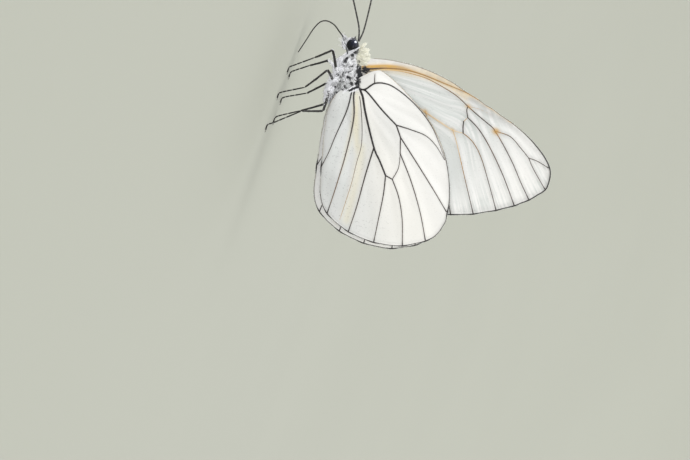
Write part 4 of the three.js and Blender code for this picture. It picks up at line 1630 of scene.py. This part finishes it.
def collar_plumes(rng, wide):
    """The cream plumes of the collar: pads, and the hair on them."""
    longest = sizes().collar_hair / MM
    pads, hairs = [], []
    for side in BOTH:
        for line, broad, deep in PLUMES:
            pad = plume(line, broad, deep)
            pads.append(pad.shape().mirrored(side))
            root, normal, along, _ = pad.sow(rng, thin(int(1900 * broad)))
            reach = longest * (0.24 + 0.22 * broad)
            hair = fur(rng, root, normal, along, mapped(root, side), reach, 0.24, wide, sway=0.22, droop=0.1,
                       hold=0.6, flat=0.5)
            hairs.append(hair.mirrored(side))
    piece("collar_plume_skin", join(pads), collar_skin(), "collar")
    piece("collar_plumes", join(hairs), shared(cream_hair), "collar")


class BUTTERFLY_OT_coat(bpy.types.Operator):
    """Long hair of the thorax, the collar and the grey tuft behind the legs"""

    bl_idname = "butterfly.coat"
    bl_label = "Thorax coat"

    def execute(self, context):
        rng = random_for(1)
        at = body_surface().grid
        aft, up = at[..., 1], at[..., 2]
        wide, long = hair_width(), sizes().thorax_hair / MM
        dark = darkness(at)
        on_thorax = ease(-6.4, -5.6, aft) * (1 - ease(2.2, 3.2, aft))
        pale = on_thorax * (1 - dark)
        collar = ease(0.0, 0.7, up - 9.0 - 0.35 * (aft + 6)) * (1 - ease(-5.0, -4.1, aft)) * on_thorax
        behind = ease(-2.4, -1.2, aft) * (1 - ease(1.4, 2.6, aft)) * ease(7.6, 8.4, up)
        grow(rng, "coat_white", 12000, pale * (1 - 0.9 * collar), shared(white_hair), thorax_reach,
             thorax_lift, wide * 1.2, clear=True, tuft=11, hold=0.85, sway=0.3, flat=0.45)
        grow(rng, "coat_white_under", 7000, pale * (1 - ease(6.8, 8.0, up)) + 1e-9, shared(clean_hair),
             thorax_reach, thorax_lift, wide * 1.2, clear=True, tuft=12, hold=0.75, flat=0.45)
        grow(rng, "coat_black", 5500, on_thorax * (dark**1.5 + 0.02), shared(black_hair), long * 0.62, 0.5,
             wide * 1.3, tuft=9, hold=0.8)
        grow(rng, "coat_grey", 3500, behind * (1 - dark) * (1 - ease(10.4, 10.9, up)), shared(grey_hair),
             long * 0.95, 0.34, wide, clear=True, tuft=14, hold=0.9)
        grow(rng, "coat_collar", 3500, collar * (1 - 0.85 * dark), shared(cream_hair),
             sizes().collar_hair / MM * 0.7, 0.45, wide, flow=collar_flow, slot="collar", tuft=20, hold=0.7,
             droop=0.2)
        collar_plumes(rng, wide)
        hinges = [
            tress(rng, line, (broad, broad), thin(count), side, 0.6, 0.4, wide, way=(0.1, 0.7, 0.35),
                  skip=HINGE_WHITE, sway=0.5, tuft=5, hold=0.3)
            for side in BOTH
            for line, broad, count in HINGE_TUFTS
        ]
        piece("hinge_tufts", join(hinges), shared(black_hair), "fur")
        bars = {"white": [], "black": []}
        for side in BOTH:
            for key, line in REAR_BARS:
                bars[key].append(tress(rng, line, (0.14, 0.1), thin(420), side, 0.55, 0.12, wide, sway=0.12,
                                       droop=0.2, tuft=8, hold=0.5, flat=0.6))
        black_and_white("rear_bars", bars)
        return {"FINISHED"}


# The white band where the eye meets the neck, and the dark line below the eye.
EYE_BAND = [
    (1.0, -7.2, 9.35), (1.25, -6.75, 9.0), (1.36, -6.2, 8.52), (1.4, -5.75, 8.12), (1.4, -5.3, 7.8),
    (1.35, -4.5, 7.2), (1.25, -4.0, 6.85),
]
CHEEK = [(1.15, -6.4, 7.32), (1.38, -5.95, 7.66), (1.42, -5.6, 7.86)]
# White tufts along the breast, in front of the first leg and behind it: line, half width at its
# ends, hairs and lie.
BREAST_TUFTS = (
    ([(1.0, -5.5, 7.7), (1.3, -4.9, 7.4), (1.45, -4.3, 7.2), (1.5, -3.6, 7.1)], (0.2, 0.32), 1500,
     (0.1, 0.85, -0.35)),
    ([(1.45, -3.0, 7.3), (1.4, -1.9, 7.15), (1.35, -0.8, 7.0), (1.35, 0.4, 6.95), (1.3, 1.6, 7.15),
      (1.2, 2.6, 7.4)], (0.25, 0.25), 1700, (0.1, 0.6, -0.75)),
)


def face_flow(normal, along, root):
    """The hair of the face points forwards, and that of the head's back lies along it."""
    forward = unit(normal * 0.6 + (0, -0.8, 0.1))
    return np.where((root[:, 1] < -7.4)[:, None], forward, along)


def palp_hair(rng, wide):
    """White hair on the palps, with a few long ones, and black hair between."""
    palp = palp_surface()
    hairs = {"white": [], "black": []}
    for side in BOTH:
        for key, count, reach, lift, stout, down in (
            ("white", 1500, 0.4, 0.42, 1.0, 0.35),
            ("white", 26, 1.15, 0.55, 0.8, 1.5),
            ("black", 230, 0.5, 0.5, 1.1, 0.35),
        ):
            root, normal, along, place = palp.sow(rng, thin(count) + 2, 1.2 - palp.normal[..., 2])
            flow = unit(along + (0.05, 0, -down))
            place = place * (1, 0.45) + (0, 0.5 if side < 0 else 0)
            hair = fur(rng, root, normal, flow, place, reach, lift, wide * stout, tuft=8, hold=0.75)
            hairs[key].append(hair.mirrored(side))
    black_and_white("palp_hair", hairs)


class BUTTERFLY_OT_face(bpy.types.Operator):
    """Hair of the head and palps, with the white band behind each eye"""

    bl_idname = "butterfly.face"
    bl_label = "Head hair"

    def execute(self, context):
        rng = random_for(2)
        wide, long = hair_width() * 0.8, sizes().head_hair / MM
        at = body_surface().grid
        out, aft, up = np.abs(at[..., 0]), at[..., 1], at[..., 2]
        to_eye = np.hypot(aft - EYE[1], up - EYE[2]) + (0.6 - out).clip(0, 1)
        bare = (1 - ease(-6.3, -5.9, aft)) * ease(0.55, 0.75, to_eye)
        top = ease(7.3, 7.9, up)
        for name, count, weight, material, much in (
            ("face_white", 2600, 1 - 0.85 * top, clean_hair, 1.0),
            ("face_black", 2400, 0.08 + top, black_hair, 1.15),
        ):
            grow(rng, name, count, bare * weight, shared(material), long * much, 0.55, wide, flow=face_flow,
                 tuft=7, hold=0.5)
        bands, cheeks = [], []
        for side in BOTH:
            bands.append(tress(rng, EYE_BAND, (0.07, 0.4), thin(1700), side, 0.6, 0.1, wide, sway=0.1,
                               droop=0.1, tuft=10, hold=0.4, flat=0.5))
            cheeks.append(tress(rng, CHEEK, (0.06, 0.1), thin(160), side, 0.4, 0.2, wide, sway=0.08))
        piece("eye_bands", join(bands), shared(clean_hair), "fur")
        piece("cheek_lines", join(cheeks), shared(black_hair), "fur")
        bibs = [
            tress(rng, line, broad, thin(count), side, 0.7, 0.16, wide * 1.2, way=way, tuft=12, hold=0.7,
                  flat=0.5)
            for side in BOTH
            for line, broad, count, way in BREAST_TUFTS
        ]
        piece("bib", join(bibs), shared(clean_hair), "fur")
        palp_hair(rng, wide)
        return {"FINISHED"}


# How the scales of the abdomen lie, and the loose hair over them. wide is in widths of a hair.
SCALES = {"reach": 0.3, "lift": 0.12, "wide": 1.7, "tuft": 0, "segments": 2, "flat": 0.35}
LOOSE = {"reach": 0.6, "lift": 0.3, "wide": 0.9, "tuft": 8, "segments": 3, "flat": 1.0}


def skin_flow(normal, along, root):
    """Scales lie along the skin."""
    return along


class BUTTERFLY_OT_abdomen(bpy.types.Operator):
    """Scales of the abdomen, dark above and pale below"""

    bl_idname = "butterfly.abdomen"
    bl_label = "Abdomen scales"

    def execute(self, context):
        rng = random_for(3)
        at = body_surface().grid
        aft, up = at[..., 1], at[..., 2]
        there = ease(1.8, 2.8, aft) * (1 - ease(12.7, 12.9, aft))
        low = 1 - ease(-0.5, 0.5, above_middle(aft, up) - 0.1)
        for name, count, weight, material, ways in (
            ("abdomen_pale", 9000, low, white_hair, SCALES),
            ("abdomen_dark", 9500, 1 - low, black_hair, SCALES),
            ("abdomen_hair", 3000, 0.4 + 0.6 * low, grey_hair, LOOSE),
        ):
            ways = {**ways, "wide": ways["wide"] * hair_width()}
            grow(rng, name, count, there * weight, shared(material), flow=skin_flow, slot="abdomen",
                 sway=0.15, droop=0.1, hold=0.4, **ways)
        return {"FINISHED"}


# Hair of each leg: colour, part, hairs, length and lift.
LEG_HAIR = (
    ("white", "coxa", 850, 0.75, 0.35),
    ("white", "femur", 280, 0.42, 0.3),
    ("black", "tibia", 120, 0.26, 0.35),
    ("black", "foot_0", 50, 0.2, 0.35),
    ("white", "tibia", 60, 0.2, 0.2),
)
FRONT_THIGH_HAIRS = 850


class BUTTERFLY_OT_leg_hair(bpy.types.Operator):
    """White hair of the hips and thighs, and short bristles further down"""

    bl_idname = "butterfly.leg_hair"
    bl_label = "Leg hair"

    def execute(self, context):
        rng = random_for(4)
        wide = hair_width() * 0.85
        hairs = {"white": [], "black": []}
        for n, (name, joints) in enumerate(mirrored_legs()):
            parts = leg_parts(joints)
            for k, (key, part, count, reach, lift) in enumerate(LEG_HAIR):
                surface = parts[part]
                fade = np.ones(surface.grid.shape[:2])
                if part == "femur":
                    past = np.linspace(0.0, 1.0, len(fade))[:, None]
                    inner = -np.sign(joints[0][0]) * surface.normal[..., 0]
                    if name.startswith("front"):  # the first thighs are bare outside and hairy inside
                        fade, count = ease(0.1, 0.7, inner) * (1 - 0.8 * past**3), FRONT_THIGH_HAIRS
                    else:
                        fade = fade * (1 - past) ** 2 * (1.05 - surface.normal[..., 2])
                root, normal, along, place = surface.sow(rng, thin(count), fade)
                place = place * (0.15, 0.18) + (n * 0.166, k * 0.2)  # a patch of the map for each part
                hair = fur(rng, root, normal, along, place, reach, lift, wide, tuft=6, hold=0.4)
                hairs[key].append(hair)
        black_and_white("leg_hair", hairs)
        return {"FINISHED"}


def base_hair(rng, kind, side):
    """Soft hair over the base of a wing."""
    wing = WINGS[kind]
    _, flat, relief, values = plan_of(kind)
    outer = Surface(raised(kind, side, flat, relief + THICK / 2), closed=False)
    away = flat - wing.hinge
    reach = np.linalg.norm(away, axis=2)
    weight = bell(reach, 1.6)
    if kind == "hindwing":
        angle = np.degrees(np.arctan2(away[..., 1], away[..., 0]))
        weight = weight + 0.2 * bell(reach, 6.0) * (1 - ease(5, 40, angle))
    else:
        weight = weight * 0.4 + 0.5 * bell(reach, 5.0) * ease(1.0, 2.4, -away[..., 0])
    root, _, along, place = outer.sow(rng, thin(1600), weight * ease(0.25, 0.6, values["rim"]))
    out = np.tile([float(side), 0.0, 0.0], (len(root), 1))
    place = place * 0.45 + (0.5 if kind == "hindwing" else 0, 0.5 if side < 0 else 0)  # its own quarter
    wide = hair_width() * 0.7
    return fur(rng, root, out, along, place, 0.6, 0.03, wide, sway=0.06, droop=0.1, tuft=5, hold=0.3)


def fringe(rng, kind, side):
    """Short scales that stand out from the rim of a wing."""
    edge = plan_of(kind)[0]
    count = thin(1500)
    k = rng.integers(8, len(edge) - 9, count)
    t = rng.uniform(0, 1, count)[:, None]
    foot = edge[k] * (1 - t) + edge[k + 1] * t
    way = unit(edge[k + 1] - edge[k])
    outward = np.column_stack([-way[:, 1], way[:, 0]])
    from_middle = foot - WINGS[kind].outline.mean(0)
    outward = outward * np.sign((outward * from_middle).sum(1))[:, None]
    tip = foot + outward * rng.uniform(0.12, 0.22, count)[:, None] + way * rng.normal(0, 0.03, (count, 1))
    ends = [raised(kind, side, p, rng.normal(0, 0.012, count)) for p in (foot, (foot + tip) / 2, tip)]
    place = np.column_stack([k / len(edge), t[:, 0] * 0.2]) * (0.98, 1)
    place[:, 1] += (0.25 if kind == "hindwing" else 0) + (0.5 if side < 0 else 0)
    return strands(rng, place, *ends, 0.022, segments=2)


class BUTTERFLY_OT_wing_hair(bpy.types.Operator):
    """Soft hair over the bases of the wings, and the fine fringe along their rims"""

    bl_idname = "butterfly.wing_hair"
    bl_label = "Wing hair"

    def execute(self, context):
        rng = random_for(5)
        bases, fringes = [], []
        for kind in WINGS:
            for side in BOTH:
                bases.append(base_hair(rng, kind, side))
                fringes.append(fringe(rng, kind, side))
        piece("wing_base_hair", join(bases), shared(clean_hair), "fur")
        piece("wing_fringe", join(fringes), shared(grey_hair), "membrane")
        return {"FINISHED"}


# Suns: where from, strength, spread in degrees and tint.
SUNS = {
    "key": ((0.92, -0.15, 0.26), 0.25, 50, (1.0, 0.995, 0.98)),
    "front": ((0.2, -0.95, 0.24), 1.9, 20, (0.98, 0.985, 1.0)),
    "rear": ((0.85, 0.42, 0.24), 0.45, 45, (1.0, 0.99, 0.98)),
    "fill": ((-0.9, 0.1, 0.35), 0.9, 45, (0.98, 0.99, 1.0)),
    "top": ((0.2, -0.2, 1.0), 1.0, 60, (1.0, 1.0, 1.0)),
    "spark": ((0.12, -0.98, 0.12), 26.0, 64, (0.92, 0.95, 1.0)),
}
SHADOWLESS = ("front", "spark")  # these would draw a long shadow behind
LIT_MIDDLE = Vector((0, 0, 0.018))
SKY = (1.0, 0.995, 0.965, 1)
SKY_STRENGTH = 0.82
CAMERA_AIM = (0.0, 20.6, 16.9)
CAMERA_RISE = math.radians(1.5)
PICTURE_RIGHT = Vector((0, -0.94, -0.34))


def place_camera(scene):
    """The picture is turned so that the head points up and the ground is at the left."""
    target = Vector((np.array(CAMERA_AIM) + SHIFT) * MM)
    back = Vector((math.cos(CAMERA_RISE), 0, math.sin(CAMERA_RISE)))
    right = PICTURE_RIGHT.cross(back).normalized()
    turn = Matrix((right, back.cross(right), back)).transposed().to_4x4()
    camera = bpy.data.objects.new("camera", bpy.data.cameras.new("camera"))
    scene.collection.objects.link(camera)
    camera.matrix_world = Matrix.Translation(target + back * sizes().distance) @ turn
    camera.data.lens = sizes().lens / MM
    camera.data.sensor_width = 36
    camera.data.clip_start, camera.data.clip_end = 0.01, 20
    scene.camera = camera


def backdrop():
    """A wide dish: a flat floor that curves up gently all round, higher than the camera looks."""
    flat_to, bend, steepest, sides = 0.45, 6.1, math.radians(25), 72
    turn = np.linspace(0, steepest, 24)
    reach = np.concatenate([[0.02, 0.2], flat_to + bend * np.sin(turn)])
    rise = np.concatenate([[0, 0], bend * (1 - np.cos(turn))])
    around = np.linspace(0, 2 * math.pi, sides, endpoint=False)
    out, aft = reach[:, None] * np.cos(around), reach[:, None] * np.sin(around)
    grid = np.stack([out, aft, np.repeat(rise[:, None], sides, 1)], axis=2)
    n = np.arange(len(reach) * sides).reshape(-1, sides)
    mesh = bpy.data.meshes.new("floor")
    verts = np.vstack([grid.reshape(-1, 3), [[0, 0, 0]]])
    mesh.from_pydata(verts.tolist(), [], between_rings(n).tolist() + fan(n.size, n[0]).tolist())
    mesh.shade_smooth()
    mesh.materials.append(stage_finish())
    return bpy.data.objects.new("floor", mesh)


def place_suns(scene):
    """Soft suns, seen only by what they light."""
    for name, (at, power, spread, tint) in SUNS.items():
        light = bpy.data.lights.new(name, "SUN")
        light.energy, light.angle, light.color = power, math.radians(spread), tint
        light.use_shadow = name not in SHADOWLESS
        lamp = bpy.data.objects.new(name, light)
        scene.collection.objects.link(lamp)
        lamp.location = at
        lamp.rotation_euler = (LIT_MIDDLE - Vector(at)).to_track_quat("-Z", "Y").to_euler()
        lamp.visible_camera = False
        if name == "spark":  # only the eyes catch it
            lamp.light_linking.receiver_collection = bpy.data.collections.new(EYES)


class BUTTERFLY_OT_stage(bpy.types.Operator):
    """Camera, soft lights, floor and backdrop"""

    bl_idname = "butterfly.stage"
    bl_label = "Stage"

    def execute(self, context):
        scene = context.scene
        place_camera(scene)
        ground = backdrop()
        scene.collection.objects.link(ground)
        ground.visible_diffuse = False  # so the underside of the body gets as much soft light as its sides
        ground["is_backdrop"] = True
        place_suns(scene)
        world = bpy.data.worlds.new("world")
        world.use_nodes = True
        sky = world.node_tree.nodes["Background"]
        sky.inputs["Color"].default_value = SKY
        sky.inputs["Strength"].default_value = SKY_STRENGTH
        scene.world = world
        scene.view_settings.view_transform = "Standard"
        return {"FINISHED"}


class BUTTERFLY_PT_panel(bpy.types.Panel):
    """Builds the butterfly piece by piece"""

    bl_idname = "BUTTERFLY_PT_panel"
    bl_label = "Black-veined white"
    bl_space_type = "VIEW_3D"
    bl_region_type = "UI"
    bl_category = "Butterfly"

    def draw(self, context):
        for group in (context.scene.butterfly_sizes, context.scene.butterfly_colours):
            for key in group.__annotations__:
                self.layout.prop(group, key)
        for step in STEPS:
            self.layout.operator(step.bl_idname)


STEPS = (
    BUTTERFLY_OT_stage,  # first, as it makes the collection that the eyes are linked to
    BUTTERFLY_OT_body,
    BUTTERFLY_OT_eyes,
    BUTTERFLY_OT_mouth,
    BUTTERFLY_OT_feelers,
    BUTTERFLY_OT_legs,
    BUTTERFLY_OT_wings,
    BUTTERFLY_OT_veins,
    BUTTERFLY_OT_coat,
    BUTTERFLY_OT_face,
    BUTTERFLY_OT_abdomen,
    BUTTERFLY_OT_leg_hair,
    BUTTERFLY_OT_wing_hair,
)
CLASSES = (ButterflySizes, ButterflyColours, *STEPS, BUTTERFLY_PT_panel)


def register():
    for cls in CLASSES:
        bpy.utils.register_class(cls)
    bpy.types.Scene.butterfly_sizes = bpy.props.PointerProperty(type=ButterflySizes)
    bpy.types.Scene.butterfly_colours = bpy.props.PointerProperty(type=ButterflyColours)


def unregister():
    del bpy.types.Scene.butterfly_sizes
    del bpy.types.Scene.butterfly_colours
    for cls in reversed(CLASSES):
        bpy.utils.unregister_class(cls)


def main():
    register()
    for step in STEPS:
        package, name = step.bl_idname.split(".")
        getattr(getattr(bpy.ops, package), name)()
    visual_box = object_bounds()
    boxes = {"cad": CAD_BOX, "visual": visual_box}
    {k: [list(corner) for corner in box] for k, box in boxes.items()}


if __name__ == "__main__":
    main()
